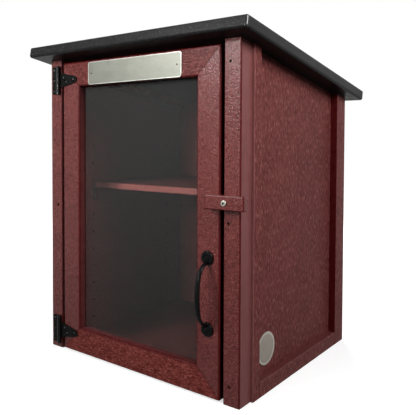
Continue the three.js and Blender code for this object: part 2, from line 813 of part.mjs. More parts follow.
function pullHandle() {
  const faceY = frontY - seam;
  const feet = pullFootHeights.map((z) => turned([
    [0, -pullFootThickness],
    [pullFootRadius - pullFootThickness / 2, -pullFootThickness],
    [pullFootRadius, -pullFootThickness + pullFootDome],
    [pullFootRadius, 0],
    [0, 0],
  ], 24).translate(0, 0, z - pullHeight));

  // The bow rises from the inner part of each foot and bulges gently between them
  const halfSpan = pullSpacing / 2 - pullBowInset;
  const rise = pullProjection - pullBarThickness / 2;
  const halfRouteShares = [
    { span: 1, rise: 0.08 },
    { span: 0.97, rise: 0.36 },
    { span: 0.86, rise: 0.66 },
    { span: 0.7, rise: 0.85 },
    { span: 0.38, rise: 0.96 },
  ];
  const route = [
    ...halfRouteShares.map((share) => at(0, -share.rise * rise, share.span * halfSpan)),
    at(0, -rise, 0),
    ...halfRouteShares.toReversed().map((share) => at(0, -share.rise * rise, -share.span * halfSpan)),
  ];
  const section = roundedOutline(pullBarThickness, pullBarWidth, [
    pullBarThickness / 3, pullBarThickness / 3, pullBarThickness / 3, pullBarThickness / 3,
  ]);
  const bow = new THREE.ExtrudeGeometry(new THREE.Shape(section), {
    steps: pullBowSteps, bevelEnabled: false, extrudePath: new THREE.CatmullRomCurve3(route),
  });
  const screwBores = pullFootHeights.map((z) => turned([
    [0, -pullFootThickness - overrun],
    [pullScrewHeadRadius + screwClearance, -pullFootThickness - overrun],
    [pullScrewHeadRadius + screwClearance, -pullFootThickness],
    [pullScrewShankRadius + screwClearance, pullScrewHeadDepth - pullFootThickness],
    [pullScrewShankRadius + screwClearance, overrun],
    [0, overrun],
  ], 12).translate(0, 0, z - pullHeight));
  const handle = cut(join(feet[0], [feet[1], bow]), screwBores);
  add(door, 'pull_handle', blackMetal(), handle, inDoor(pullX, faceY, pullHeight));

  const names = ['upper', 'lower'];
  pullFootHeights.forEach((z, index) => {
    const screw = countersunkScrew(
      pullScrewHeadRadius, pullScrewShankRadius, pullScrewHeadDepth, pullScrewLength, 12,
    );
    const place = inDoor(pullX, faceY - pullFootThickness, z);
    add(door, `${names[index]}_pull_screw`, blackMetal(), screw, place);
  });
}

function signPlate() {
  const corner = signCornerRadius;
  const plate = extrude(roundedOutline(signWidth, signHeight, [corner, corner, corner, corner]), signThickness);
  plate.rotateX(Math.PI / 2);
  const signZ = sillGap + doorHeight - signInset - signHeight / 2;
  const place = inDoor(doorCentreX - signShift, frontY - seam, signZ);
  add(door, 'sign_plate', brushedPlate(), plate, place);
}

// The turn button hangs in a group whose origin is on its screw, at its back face
const button = new THREE.Group();
button.position.set(buttonX, buttonBackY, buttonPivotHeight);

function turnButton() {
  const block = new RoundedBoxGeometry(buttonLength, buttonThickness, buttonHeight, 1, buttonEdge);
  const bore = rodAlongY(buttonScrewShankRadius + buttonBoreClearance, buttonThickness + 2 * overrun, 24);
  const centreX = buttonLength / 2 - buttonReach;
  bore.translate(-centreX, -buttonThickness / 2 - overrun, 0);
  const place = at(centreX, -buttonThickness / 2, 0);
  add(button, 'turn_button', plasticBoard(), cut(block, [bore]), place);
}

cornerPosts();
postScrews();
sideWalls();
backAndFloor();
headRail();
roofCleats();
roof();
shelf();
hingeLeaves();
roundDisc();
buttonFixings();
doorFrame();
glazing();
hingeStraps();
pullHandle();
signPlate();
turnButton();
box.add(door);
box.add(button);

export default box;
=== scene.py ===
import math

import bmesh
import bpy
from mathutils import Matrix, Vector


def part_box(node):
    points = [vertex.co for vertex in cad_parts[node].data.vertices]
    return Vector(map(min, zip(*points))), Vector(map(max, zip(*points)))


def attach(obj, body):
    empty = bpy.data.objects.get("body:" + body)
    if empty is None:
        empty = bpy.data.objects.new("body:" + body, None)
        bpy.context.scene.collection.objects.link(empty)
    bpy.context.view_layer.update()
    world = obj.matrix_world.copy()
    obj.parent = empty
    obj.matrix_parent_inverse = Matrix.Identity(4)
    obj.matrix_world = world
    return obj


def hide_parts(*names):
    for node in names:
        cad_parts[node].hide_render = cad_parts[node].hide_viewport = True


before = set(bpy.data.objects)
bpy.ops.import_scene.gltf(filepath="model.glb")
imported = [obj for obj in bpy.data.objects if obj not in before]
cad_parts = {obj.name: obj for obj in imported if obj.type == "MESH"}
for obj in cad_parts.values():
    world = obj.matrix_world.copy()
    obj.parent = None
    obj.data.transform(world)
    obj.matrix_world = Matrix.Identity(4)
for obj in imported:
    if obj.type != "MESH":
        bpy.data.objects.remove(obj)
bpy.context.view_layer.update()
bpy.ops.object.select_all(action="DESELECT")

# Main sizes of the box, as the CAD model has them
FRONT = -0.1835
REAR = 0.1835
CASE_HALF_WIDTH = 0.216
CASE_TOP = 0.546
ROOF_PITCH = math.radians(9.8)
ROOF_UP = Vector((0, math.sin(ROOF_PITCH), math.cos(ROOF_PITCH)))
ROOF_THICKNESS = 0.019
ROOF_SIDE_OVERHANG = 0.0285
ROOF_FRONT_OVERHANG = 0.0315
ROOF_REAR_OVERHANG = 0.033

# Gaps between fitted pieces, and how far a cutting tool reaches past what it cuts
HAIRLINE = 0.0003
SEAM = 0.0002
OVERRUN = 0.002
SHORT_OVERRUN = 0.001

# How near to a plane an edge counts as lying on it
NEAR = 0.001
CLOSE = 0.0005
TOUCHING = 0.0001
X, Y, Z = 0, 1, 2


def centre_of(source):
    """The middle of a CAD node's box."""
    low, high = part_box(source)
    return (low + high) / 2


# Camera, found from the straight edges of the case
CAMERA_PLACE = (0.6515, -0.8489, 0.3954)
CAMERA_YAW = math.radians(36.63)
CAMERA_PITCH = math.radians(-1.82)
CAMERA_ROLL = math.radians(0.24)
CAMERA_LENS = 47.45
CAMERA_SHIFT = -0.1184


def camera():
    """The photograph's view."""
    yaw, pitch, roll = CAMERA_YAW, CAMERA_PITCH, CAMERA_ROLL
    ahead = Vector((-math.sin(yaw) * math.cos(pitch), math.cos(yaw) * math.cos(pitch), math.sin(pitch)))
    level = Vector((math.cos(yaw), math.sin(yaw), 0))
    upright = level.cross(ahead)
    right = math.cos(roll) * level + math.sin(roll) * upright
    up = math.cos(roll) * upright - math.sin(roll) * level
    settings = bpy.data.cameras.new("camera")
    settings.sensor_width = 36
    settings.lens = CAMERA_LENS
    settings.shift_y = CAMERA_SHIFT
    settings.clip_start = 0.01
    holder = bpy.data.objects.new("camera", settings)
    turn = Matrix((right, up, -ahead)).transposed().to_4x4()
    holder.matrix_world = Matrix.Translation(CAMERA_PLACE) @ turn
    bpy.context.scene.collection.objects.link(holder)
    bpy.context.scene.camera = holder


def lamp(name, place, target, width, height, power, spread_angle):
    """A soft rectangular studio lamp that faces its target, with its light narrowed by its spread."""
    settings = bpy.data.lights.new(name, "AREA")
    settings.shape = "RECTANGLE"
    settings.size = width
    settings.size_y = height
    settings.energy = power
    settings.spread = math.radians(spread_angle)
    holder = bpy.data.objects.new(name, settings)
    way = Vector(target) - Vector(place)
    holder.matrix_world = Matrix.Translation(place) @ way.to_track_quat("-Z", "Y").to_matrix().to_4x4()
    bpy.context.scene.collection.objects.link(holder)


# Node helpers
def node(tree, kind, settings=None, **inputs):
    """A node with its settings and its inputs, which are values or other nodes' outputs."""
    made = tree.nodes.new(kind)
    for key, value in (settings or {}).items():
        setattr(made, key, value)
    for key, value in inputs.items():
        socket = made.inputs[int(key[1:])] if key[0] == "n" and key[1:].isdigit() else made.inputs[key]
        if isinstance(value, bpy.types.NodeSocket):
            tree.links.new(value, socket)
        else:
            socket.default_value = value
    return made


def tone(red, green, blue):
    """A linear colour from screen values."""
    parts = [value / 255 for value in (red, green, blue)]
    line = [part / 12.92 if part < 0.04 else ((part + 0.055) / 1.055) ** 2.4 for part in parts]
    return (*line, 1)


def noise(tree, scale, detail=2.0, rough=0.5, stretch=(1, 1, 1)):
    """Noise over the piece's own coordinates. Stretch lengthens it along an axis."""
    place = tree.nodes.get("place") or node(tree, "ShaderNodeTexCoord", {"name": "place"})
    source = place.outputs["Object"]
    if stretch != (1, 1, 1):
        shares = tuple(1 / value for value in stretch)
        source = node(tree, "ShaderNodeMapping", Vector=source, Scale=shares).outputs[0]
    made = node(tree, "ShaderNodeTexNoise", Vector=source, Scale=scale, Detail=detail, Roughness=rough)
    return made.outputs[0]


def spread(tree, value, low, high, to_low=0.0, to_high=1.0):
    """Maps a range of a value on to another."""
    made = node(tree, "ShaderNodeMapRange", n0=value, n1=low, n2=high, n3=to_low, n4=to_high)
    return made.outputs[0]


def blend_of(tree, share, first, second):
    """Mixes two colours."""
    made = node(tree, "ShaderNodeMix", {"data_type": "RGBA"}, n0=share, n6=first, n7=second)
    return made.outputs[2]


def sum_of(tree, first, second, share):
    """First plus second times a share."""
    made = node(tree, "ShaderNodeMath", {"operation": "MULTIPLY_ADD"}, n0=second, n1=share, n2=first)
    return made.outputs[0]


def new_finish(name):
    """A material and its one Principled shader."""
    finish = bpy.data.materials.new(name)
    finish.use_nodes = True
    tree = finish.node_tree
    return finish, tree, tree.nodes["Principled BSDF"]


def bump(tree, shader, height, depth):
    """Raises the surface by a height pattern, with its depth in metres."""
    made = node(tree, "ShaderNodeBump", Height=height, Distance=depth, Strength=1.0)
    tree.links.new(made.outputs[0], shader.inputs["Normal"])


# Finishes. The patterns' scales are in features per metre.
BOARD_GRAIN = 400
BOARD_MOTTLING = 130
BOARD_CLOUDS = 26
BOARD_FLECKS = 430
SAW_LINES = 700
SAW_LINE_STRETCH = 30
SAW_LINE_DEPTH = 0.00006
WEAR_CLOUDS = 60
PANE_HAZE = 18


def board_finish(name, dark, light, fleck, specular, grain_depth, gloss, fleck_share=0.8, stretch=(1, 1, 1)):
    """Moulded recycled board: fine grain, soft mottling and paler flecks."""
    finish, tree, shader = new_finish(name)
    fine = noise(tree, BOARD_GRAIN, 3.0, 0.62, stretch)
    coarse = noise(tree, BOARD_MOTTLING, 2.0, 0.5, stretch)
    cloud = noise(tree, BOARD_CLOUDS, 2.0, 0.5)
    mixed = sum_of(tree, sum_of(tree, fine, coarse, 0.16), cloud, 0.20)
    body = blend_of(tree, spread(tree, mixed, 0.54, 0.84), dark, light)
    specks = spread(tree, noise(tree, BOARD_FLECKS, 2.0, 0.5, stretch), 0.55, 0.70, 0.0, fleck_share)
    tree.links.new(blend_of(tree, specks, body, fleck), shader.inputs["Base Color"])
    tree.links.new(spread(tree, coarse, 0.3, 0.7, *gloss), shader.inputs["Roughness"])
    bump(tree, shader, sum_of(tree, fine, coarse, 0.8), grain_depth)
    shader.inputs["Specular IOR Level"].default_value = specular
    return finish


def planed_finish(name, dark, light, specular, gloss, along):
    """Board where it is sawn or planed: smooth, with faint lines along the cut."""
    finish, tree, shader = new_finish(name)
    stretch = tuple(SAW_LINE_STRETCH if axis == along else 1 for axis in (X, Y, Z))
    lines = noise(tree, SAW_LINES, 2.0, 0.6, stretch)
    cloud = noise(tree, WEAR_CLOUDS, 3.0, 0.6)
    mixed = sum_of(tree, lines, cloud, 0.8)
    tree.links.new(blend_of(tree, spread(tree, mixed, 0.6, 1.2), dark, light), shader.inputs["Base Color"])
    tree.links.new(spread(tree, cloud, 0.3, 0.7, *gloss), shader.inputs["Roughness"])
    bump(tree, shader, lines, SAW_LINE_DEPTH)
    shader.inputs["Specular IOR Level"].default_value = specular
    return finish


def metal_finish(name, dark, light, gloss, grain, depth, metallic=1.0, specular=0.5, stretch=(1, 1, 1)):
    """Bare or painted metal with a fine surface and slightly uneven gloss."""
    finish, tree, shader = new_finish(name)
    fine = noise(tree, grain, 3.0, 0.6, stretch)
    cloud = noise(tree, WEAR_CLOUDS, 3.0, 0.6)
    mixed = sum_of(tree, fine, cloud, 0.6)
    tree.links.new(blend_of(tree, spread(tree, mixed, 0.5, 1.1), dark, light), shader.inputs["Base Color"])
    tree.links.new(spread(tree, cloud, 0.3, 0.7, *gloss), shader.inputs["Roughness"])
    bump(tree, shader, fine, depth)
    shader.inputs["Metallic"].default_value = metallic
    shader.inputs["Specular IOR Level"].default_value = specular
    return finish


def pane_finish():
    """Clear acrylic with a faint haze, which lets the lamps through."""
    finish, tree, shader = new_finish("clear_acrylic")
    haze = noise(tree, PANE_HAZE, 4.0, 0.6)
    clean = (0.80, 0.81, 0.80, 1)
    smudged = (0.76, 0.77, 0.76, 1)
    tree.links.new(blend_of(tree, spread(tree, haze, 0.4, 0.7), clean, smudged), shader.inputs["Base Color"])
    shader.inputs["Roughness"].default_value = 0.0
    shader.inputs["Transmission Weight"].default_value = 0.985
    shader.inputs["IOR"].default_value = 1.05
    shader.inputs["Specular IOR Level"].default_value = 0.0
    clear = node(tree, "ShaderNodeBsdfTransparent", Color=(0.86, 0.88, 0.87, 1))
    ray = node(tree, "ShaderNodeLightPath")
    mixed = node(
        tree, "ShaderNodeMixShader",
        n0=ray.outputs["Is Shadow Ray"], n1=shader.outputs[0], n2=clear.outputs[0],
    )
    tree.links.new(mixed.outputs[0], tree.nodes["Material Output"].inputs["Surface"])
    return finish


RED_FACE = board_finish(
    "red_board_face", tone(71, 22, 21), tone(104, 47, 44), tone(138, 87, 83),
    specular=0.20, grain_depth=0.00045, gloss=(0.23, 0.35),
)
RED_RAIL = board_finish(
    "red_board_rail", tone(66, 22, 21), tone(101, 49, 46), tone(127, 80, 76),
    specular=0.08, grain_depth=0.00040, gloss=(0.32, 0.44), stretch=(2.5, 1, 1),
)
# Painted reflection: the bottom rail's red is lighter and warmer, standing in for the floor reflected in it
RED_LOW_RAIL_PAINTED_REFLECTION = board_finish(
    "red_board_low_rail_painted_reflection", tone(82, 29, 26), tone(126, 61, 55), tone(150, 92, 86),
    specular=0.04, grain_depth=0.00040, gloss=(0.32, 0.44), stretch=(2.5, 1, 1),
)
RED_SIDE = board_finish(
    "red_board_side", tone(76, 33, 31), tone(110, 58, 56), tone(140, 90, 86),
    specular=0.04, grain_depth=0.00030, gloss=(0.40, 0.52), stretch=(1, 1, 4),
)
RED_INSIDE = board_finish(
    "red_board_inside", tone(72, 32, 30), tone(98, 50, 47), tone(114, 70, 66),
    specular=0.0, grain_depth=0.00015, gloss=(0.44, 0.56), fleck_share=0.3,
)
# Painted light: the back wall's inner face, seen through the pane, and the shelf's edges are painted much
# lighter, standing in for light through the pane
RED_BACK_PAINTED_LIGHT = board_finish(
    "red_board_back_painted_light", tone(128, 70, 66), tone(148, 88, 83), tone(160, 106, 100),
    specular=0.0, grain_depth=0.00015, gloss=(0.44, 0.56), fleck_share=0.3,
)
# Painted light: the front trims' forward edges, which the posts shade from the front lamps, are painted a
# light red
RED_TRIM_FRONT_PAINTED_LIGHT = planed_finish(
    "red_trim_front_painted_light", tone(136, 82, 80), tone(154, 100, 98), specular=0.10, gloss=(0.34, 0.44), along=Z,
)
RED_POST_SIDE = planed_finish(
    "red_post_side", tone(100, 54, 53), tone(118, 70, 69), specular=0.12, gloss=(0.34, 0.44), along=Z,
)
RED_EDGE = planed_finish(
    "red_board_edge", tone(78, 32, 32), tone(98, 50, 49), specular=0.38, gloss=(0.28, 0.40), along=Z,
)
RED_ARRIS = planed_finish(
    "red_board_arris", tone(66, 12, 13), tone(79, 20, 21), specular=0.10, gloss=(0.24, 0.32), along=Z,
)
# Painted shade: a near-black red for faces deep in the gap beside the door, where little light reaches
RED_SHADED = planed_finish(
    "red_board_painted_gap_shade", tone(38, 8, 9), tone(48, 13, 14), specular=0.02, gloss=(0.50, 0.60), along=Z,
)
CHARCOAL = board_finish(
    "charcoal_board", tone(7, 7, 8), tone(24, 24, 25), tone(68, 68, 68),
    specular=0.07, grain_depth=0.00035, gloss=(0.34, 0.44), fleck_share=0.6,
)
CHARCOAL_PLANED = planed_finish(
    "charcoal_planed", tone(21, 21, 22), tone(33, 33, 34), specular=0.07, gloss=(0.36, 0.46), along=Y,
)
CHARCOAL_GLOSS = planed_finish(
    "charcoal_corner", tone(14, 14, 15), tone(22, 22, 23), specular=0.40, gloss=(0.14, 0.20), along=Z,
)
BLACK_PAINT = metal_finish(
    "black_powder_coat", tone(6, 7, 6), tone(15, 16, 15),
    gloss=(0.26, 0.36), metallic=0.0, specular=0.05, grain=1300, depth=0.00005,
)
BLACK_GLOSS = metal_finish(
    "black_enamel", tone(3, 3, 4), tone(8, 8, 9),
    gloss=(0.06, 0.11), metallic=0.0, specular=0.09, grain=500, depth=0.00006,
)
BLACK_SHEEN = metal_finish(
    "black_worn_smooth", tone(6, 6, 7), tone(12, 12, 13),
    gloss=(0.14, 0.22), metallic=0.0, specular=0.16, grain=900, depth=0.00004,
)
# Painted highlight: the hinge screws' heads are painted light grey, standing in for glints on them
SCREW_HEAD_PAINTED_HIGHLIGHT = metal_finish(
    "screw_head_painted_highlight", tone(58, 58, 56), tone(112, 112, 108),
    gloss=(0.16, 0.26), metallic=0.0, specular=0.24, grain=900, depth=0.00004,
)
# Painted shade: near black for countersinks and screw slots, where shade falls
BLACK_PAINTED_HOLLOW_SHADE = metal_finish(
    "black_painted_hollow_shade", tone(3, 3, 3), tone(7, 7, 7),
    gloss=(0.50, 0.60), metallic=0.0, specular=0.02, grain=900, depth=0.00003,
)
ZINC = metal_finish(
    "zinc_plate", tone(150, 147, 137), tone(180, 177, 166),
    gloss=(0.22, 0.36), grain=900, depth=0.00003,
)
SOCKET_DARK = metal_finish(
    "socket_shadow", tone(28, 26, 24), tone(44, 42, 38),
    gloss=(0.4, 0.6), grain=900, depth=0.00002,
)
BRUSHED = metal_finish(
    "brushed_sheet", tone(101, 102, 95), tone(115, 116, 108),
    gloss=(0.40, 0.50), grain=1500, depth=0.00003, stretch=(20, 1, 1),
)
BRUSHED_RIM = metal_finish(
    "bright_rim", tone(168, 170, 162), tone(186, 188, 180),
    gloss=(0.26, 0.36), grain=1500, depth=0.00002,
)
DISC_FACE = metal_finish(
    "disc_face", tone(138, 130, 122), tone(164, 156, 146),
    gloss=(0.36, 0.50), grain=1200, depth=0.00003,
)
DISC_RIM = metal_finish(
    "disc_rim", tone(170, 164, 154), tone(192, 188, 178),
    gloss=(0.28, 0.40), grain=1200, depth=0.00002,
)
PANE = pane_finish()

# Sets of finishes, and what each place in a set is for
# The fourth place is a painted shade for faces deep in the door's gap. The fifth is the inner faces' finish,
# or painted light in the trim and back sets; the shelf's second place is painted light too, and the low
# rail's first place is a painted reflection.
RED_BOARD = (RED_FACE, RED_EDGE, RED_ARRIS, RED_SHADED, RED_INSIDE)
RED_SIDE_BOARD = (RED_SIDE, RED_EDGE, RED_ARRIS, RED_SHADED, RED_INSIDE)
RED_TRIM_PAINTED_LIGHT_BOARD = (RED_SIDE, RED_EDGE, RED_ARRIS, RED_SHADED, RED_TRIM_FRONT_PAINTED_LIGHT)
RED_RAIL_BOARD = (RED_RAIL, RED_EDGE, RED_ARRIS, RED_SHADED, RED_INSIDE)
RED_LOW_RAIL_PAINTED_REFLECTION_BOARD = (RED_LOW_RAIL_PAINTED_REFLECTION, RED_EDGE, RED_ARRIS, RED_SHADED, RED_INSIDE)
RED_POST_BOARD = (RED_FACE, RED_POST_SIDE, RED_ARRIS, RED_SHADED, RED_INSIDE)
RED_BACK_PAINTED_LIGHT_BOARD = (RED_FACE, RED_EDGE, RED_ARRIS, RED_SHADED, RED_BACK_PAINTED_LIGHT)
RED_SHELF_PAINTED_LIGHT_BOARD = (RED_FACE, RED_BACK_PAINTED_LIGHT, RED_ARRIS, RED_SHADED, RED_INSIDE)
CHARCOAL_BOARD = (CHARCOAL, CHARCOAL_PLANED, CHARCOAL_GLOSS)
EDGE, ARRIS, SHADED, INSIDE_OR_PAINTED_LIGHT = 1, 2, 3, 4
# Hinge plates, their rolls, and the painted shade in their countersinks
HINGE_BLACK = (BLACK_PAINT, BLACK_SHEEN, BLACK_PAINTED_HOLLOW_SHADE)
WORN, HOLLOW = 1, 2
SCREW_RECESS = 1
SHEET_FACE = 1


# Modelling helpers
def alone(piece):
    """Makes one piece the active one and the only selected one."""
    bpy.ops.object.select_all(action="DESELECT")
    piece.select_set(True)
    bpy.context.view_layer.objects.active = piece


def settle_place(piece):
    """Moves a piece's place, turn and size into its mesh."""
    alone(piece)
    bpy.ops.object.transform_apply(location=True, rotation=True, scale=True)


def block(name, low, high, finishes=()):
    """A box between two corners."""
    low = Vector(low)
    high = Vector(high)
    bpy.ops.object.select_all(action="DESELECT")
    bpy.ops.mesh.primitive_cube_add(size=1, location=(low + high) / 2)
    piece = bpy.context.object
    piece.name = name
    piece.scale = high - low
    settle_place(piece)
    for finish in finishes:
        piece.data.materials.append(finish)
    return piece


def cone(name, start, end, start_radius, end_radius, sides=32, finishes=()):
    """A round solid between two points, straight or tapered."""
    start = Vector(start)
    end = Vector(end)
    way = end - start
    bpy.ops.object.select_all(action="DESELECT")
    bpy.ops.mesh.primitive_cone_add(
        vertices=sides, radius1=start_radius, radius2=end_radius, depth=way.length, end_fill_type="NGON",
        location=(start + end) / 2, rotation=way.to_track_quat("Z", "Y").to_euler(),
    )
    piece = bpy.context.object
    piece.name = name
    settle_place(piece)
    for finish in finishes:
        piece.data.materials.append(finish)
    return piece


def rod(name, start, end, radius, sides=32, finishes=()):
    """A straight round solid between two points."""
    return cone(name, start, end, radius, radius, sides, finishes)


def pick(kind, test):
    """Selects the faces or edges that pass a test, while the active piece is edited."""
    bpy.ops.mesh.select_mode(type=kind)
    bpy.ops.mesh.select_all(action="DESELECT")
    shape = bmesh.from_edit_mesh(bpy.context.object.data)
    for part in shape.faces if kind == "FACE" else shape.edges:
        if test(part):
            part.select_set(True)
    bmesh.update_edit_mesh(bpy.context.object.data)


def runs_along(edge, axis):
    """Whether an edge is parallel to an axis."""
    way = (edge.verts[1].co - edge.verts[0].co).normalized()
    return abs(way[axis]) > 0.999


def middle(edge):
    """The middle of an edge."""
    return (edge.verts[0].co + edge.verts[1].co) / 2


def is_sharp(edge):
    """Whether the faces on both sides of an edge meet at a clear angle."""
    return len(edge.link_faces) == 2 and edge.calc_face_angle() > math.radians(40)


def at_front(edge, axis):
    """Whether an edge lies in the front of the box and runs along an axis."""
    return runs_along(edge, axis) and middle(edge).y < FRONT + NEAR


def ease(piece, test, radius, steps=3, finish=-1):
    """Rounds the edges that pass a test."""
    alone(piece)
    bpy.ops.object.mode_set(mode="EDIT")
    pick("EDGE", test)
    bpy.ops.mesh.bevel(
        offset=radius, segments=steps, profile=0.5, affect="EDGES", clamp_overlap=True, material=finish,
    )
    bpy.ops.object.mode_set(mode="OBJECT")


def slice_off(piece, point, way):
    """Cuts off and closes what lies beyond a plane."""
    alone(piece)
    bpy.ops.object.mode_set(mode="EDIT")
    bpy.ops.mesh.select_all(action="SELECT")
    bpy.ops.mesh.bisect(plane_co=point, plane_no=way, use_fill=True, clear_outer=True)
    bpy.ops.object.mode_set(mode="OBJECT")


def slice_under_roof(piece):
    """Cuts off what would stand in the roof."""
    slice_off(piece, (0, FRONT, CASE_TOP - HAIRLINE), ROOF_UP)


def inset_face(piece, test, width, depth, finish=None):
    """Insets the faces that pass a test, and may give the new inner faces a finish."""
    alone(piece)
    bpy.ops.object.mode_set(mode="EDIT")
    pick("FACE", test)
    bpy.ops.mesh.inset(thickness=width, depth=depth)
    if finish is not None:
        piece.active_material_index = finish
        bpy.ops.object.material_slot_assign()
    bpy.ops.object.mode_set(mode="OBJECT")


def combine(piece, tool, way):
    """Joins a tool to a piece or cuts it out, and uses the tool up."""
    alone(piece)
    modifier = piece.modifiers.new("combine", "BOOLEAN")
    modifier.operation = way
    modifier.solver = "EXACT"
    modifier.object = tool
    bpy.ops.object.modifier_apply(modifier=modifier.name)
    bpy.data.objects.remove(tool)


def gather(pieces):
    """Joins several pieces into the first one."""
    bpy.ops.object.select_all(action="DESELECT")
    for piece in pieces:
        piece.select_set(True)
    bpy.context.view_layer.objects.active = pieces[0]
    bpy.ops.object.join()
    return pieces[0]


def paint(piece, finish, test=None):
    """Gives all faces, or those that pass a test, one of the piece's finishes."""
    for face in piece.data.polygons:
        if test is None or test(face):
            face.material_index = finish


def copy_of(piece, name, place, turn):
    """A copy with its own mesh, turned about the origin and then moved."""
    alone(piece)
    bpy.ops.object.duplicate(linked=False)
    copy = bpy.context.object
    copy.name = name
    copy.rotation_euler = turn
    copy.location = place
    settle_place(copy)
    return copy


def smooth(piece, angle=35):
    """Smooths rounded edges and keeps flat faces flat."""
    alone(piece)
    bpy.ops.object.shade_smooth_by_angle(angle=math.radians(angle))
    modifier = piece.modifiers.new("even_shading", "WEIGHTED_NORMAL")
    modifier.keep_sharp = True
    bpy.ops.object.modifier_apply(modifier=modifier.name)


def hand_over(piece, body, slot, *nodes):
    """Puts a finished piece on its body, in place of its CAD nodes."""
    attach(piece, body)
    if nodes:
        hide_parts(*nodes)


def side_of(source, sign):
    """Where the right side of a node lies, or its left side where the sign is negative."""
    low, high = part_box(source)
    return high.x if sign > 0 else low.x


# Boards of the case, with the radii of their eased edges
BOARD_EDGE = 0.0006
PANEL_EDGE = 0.0005
FINE_EDGE = 0.0004
TRIM_OUTER_EDGE = 0.0008
POST_OUTER_EDGES = {"left": 0.0005, "right": 0.0021}
POST_INNER_EDGE = 0.0012

# An edge of a post that lies farther from the middle of the box than this is on its outer side
POST_SPLIT = 0.2
SCREW_HOLE_RADIUS = 0.0025
SCREW_HOLE_DEPTH = 0.006


def start_board(name, source, textured, under_roof=False, finishes=RED_BOARD):
    """A board in the space of a CAD node. Its wide faces are textured and its edges planed."""
    low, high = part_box(source)
    if under_roof:
        high.z += OVERRUN
    piece = block(name, low, high, finishes)
    paint(piece, EDGE, lambda face: abs(face.normal[textured]) < 0.9)
    if under_roof:
        slice_under_roof(piece)
        paint(piece, EDGE, lambda face: abs(face.normal[textured]) < 0.9)
    return piece


def finish_board(piece, source, body="case", edge=BOARD_EDGE):
    """Eases the sharp edges of a board and puts it on its body."""
    ease(piece, is_sharp, edge, 2, ARRIS)
    smooth(piece)
    hand_over(piece, body, "red_board", source)


def corner_post(side, sign):
    """A post with its screw holes. The right one has painted shade where it faces the door."""
    source = side + "_corner_post"
    piece = start_board(side + "_post_board", source, Y, under_roof=True, finishes=RED_POST_BOARD)
    ease(
        piece, lambda edge: at_front(edge, Z) and middle(edge).x * sign > POST_SPLIT,
        POST_OUTER_EDGES[side], 4, ARRIS,
    )
    ease(
        piece, lambda edge: at_front(edge, Z) and middle(edge).x * sign < POST_SPLIT,
        POST_INNER_EDGE, 3, ARRIS,
    )
    # Painted shade: the right post's face in the door's gap takes the near-black red
    if sign > 0:
        paint(piece, SHADED, lambda face: face.normal.x < -0.9)
    ease(piece, is_sharp, FINE_EDGE, 2, ARRIS)
    rows = ("upper", "middle", "lower") if sign > 0 else ("middle",)
    for row in rows:
        centre = centre_of(side + "_post_screw_" + row)
        mouth = (centre.x, FRONT - OVERRUN, centre.z)
        bottom = (centre.x, FRONT + SCREW_HOLE_DEPTH, centre.z)
        hole = rod("hole", mouth, bottom, SCREW_HOLE_RADIUS, 24)
        paint(hole, ARRIS)
        combine(piece, hole, "DIFFERENCE")
    smooth(piece)
    hand_over(piece, "case", "red_board", source)


def side_trims(side, sign):
    """The front, rear and base boards that frame a side panel."""
    for end in ("front", "rear"):
        source = side + "_" + end + "_trim"
        piece = start_board(
            side + "_" + end + "_trim_board", source, X, under_roof=True, finishes=RED_TRIM_PAINTED_LIGHT_BOARD,
        )
        # The front trim's forward edge takes the light red painted light, where the post shades it; the rear
        # trim's keeps the dark cut red
        edge_finish = INSIDE_OR_PAINTED_LIGHT if end == "front" else ARRIS
        paint(piece, edge_finish, lambda face: face.normal.y < -0.9)
        outer = side_of(source, sign)
        ease(
            piece, lambda edge: runs_along(edge, Z) and abs(middle(edge).x - outer) < CLOSE,
            TRIM_OUTER_EDGE, 3,
        )
        finish_board(piece, source, edge=FINE_EDGE)
    source = side + "_base_trim"
    piece = start_board(side + "_base_trim_board", source, X, finishes=RED_SIDE_BOARD)
    outer = side_of(source, sign)
    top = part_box(source)[1].z

    def upper_outer(edge):
        place = middle(edge)
        return runs_along(edge, Y) and abs(place.x - outer) < CLOSE and place.z > top - NEAR

    ease(piece, upper_outer, TRIM_OUTER_EDGE, 3)
    finish_board(piece, source, edge=FINE_EDGE)


SHELF_HOLE_ROWS = 11
SHELF_HOLE_START = 0.0402
SHELF_HOLE_PITCH = 0.0344
SHELF_HOLE_RADIUS = 0.0026
SHELF_HOLE_DEPTH = 0.009
SHELF_HOLE_COLUMNS = (-0.104, 0.1195)


def side_panel(side, sign):
    """A side wall with two columns of holes for the shelf's supports."""
    source = side + "_side_panel"
    piece = start_board(side + "_wall_board", source, X, under_roof=True, finishes=RED_SIDE_BOARD)
    paint(piece, INSIDE_OR_PAINTED_LIGHT, lambda face: face.normal.x * sign < -0.9)
    ease(piece, is_sharp, PANEL_EDGE, 2, ARRIS)
    inner = side_of(source, -sign)
    drills = []
    for y in SHELF_HOLE_COLUMNS:
        for row in range(SHELF_HOLE_ROWS):
            z = SHELF_HOLE_START + row * SHELF_HOLE_PITCH
            mouth = (inner - sign * OVERRUN, y, z)
            bottom = (inner + sign * SHELF_HOLE_DEPTH, y, z)
            drills.append(rod("drill", mouth, bottom, SHELF_HOLE_RADIUS, 20))
    drill = gather(drills)
    paint(drill, ARRIS)
    combine(piece, drill, "DIFFERENCE")
    smooth(piece)
    hand_over(piece, "case", "red_board", source)


def back_board():
    """The back, whose side that shows through the pane is painted much lighter, as painted light."""
    piece = start_board("back_board", "back_panel", Y, under_roof=True, finishes=RED_BACK_PAINTED_LIGHT_BOARD)
    paint(piece, INSIDE_OR_PAINTED_LIGHT, lambda face: face.normal.y < -0.9)
    finish_board(piece, "back_panel")


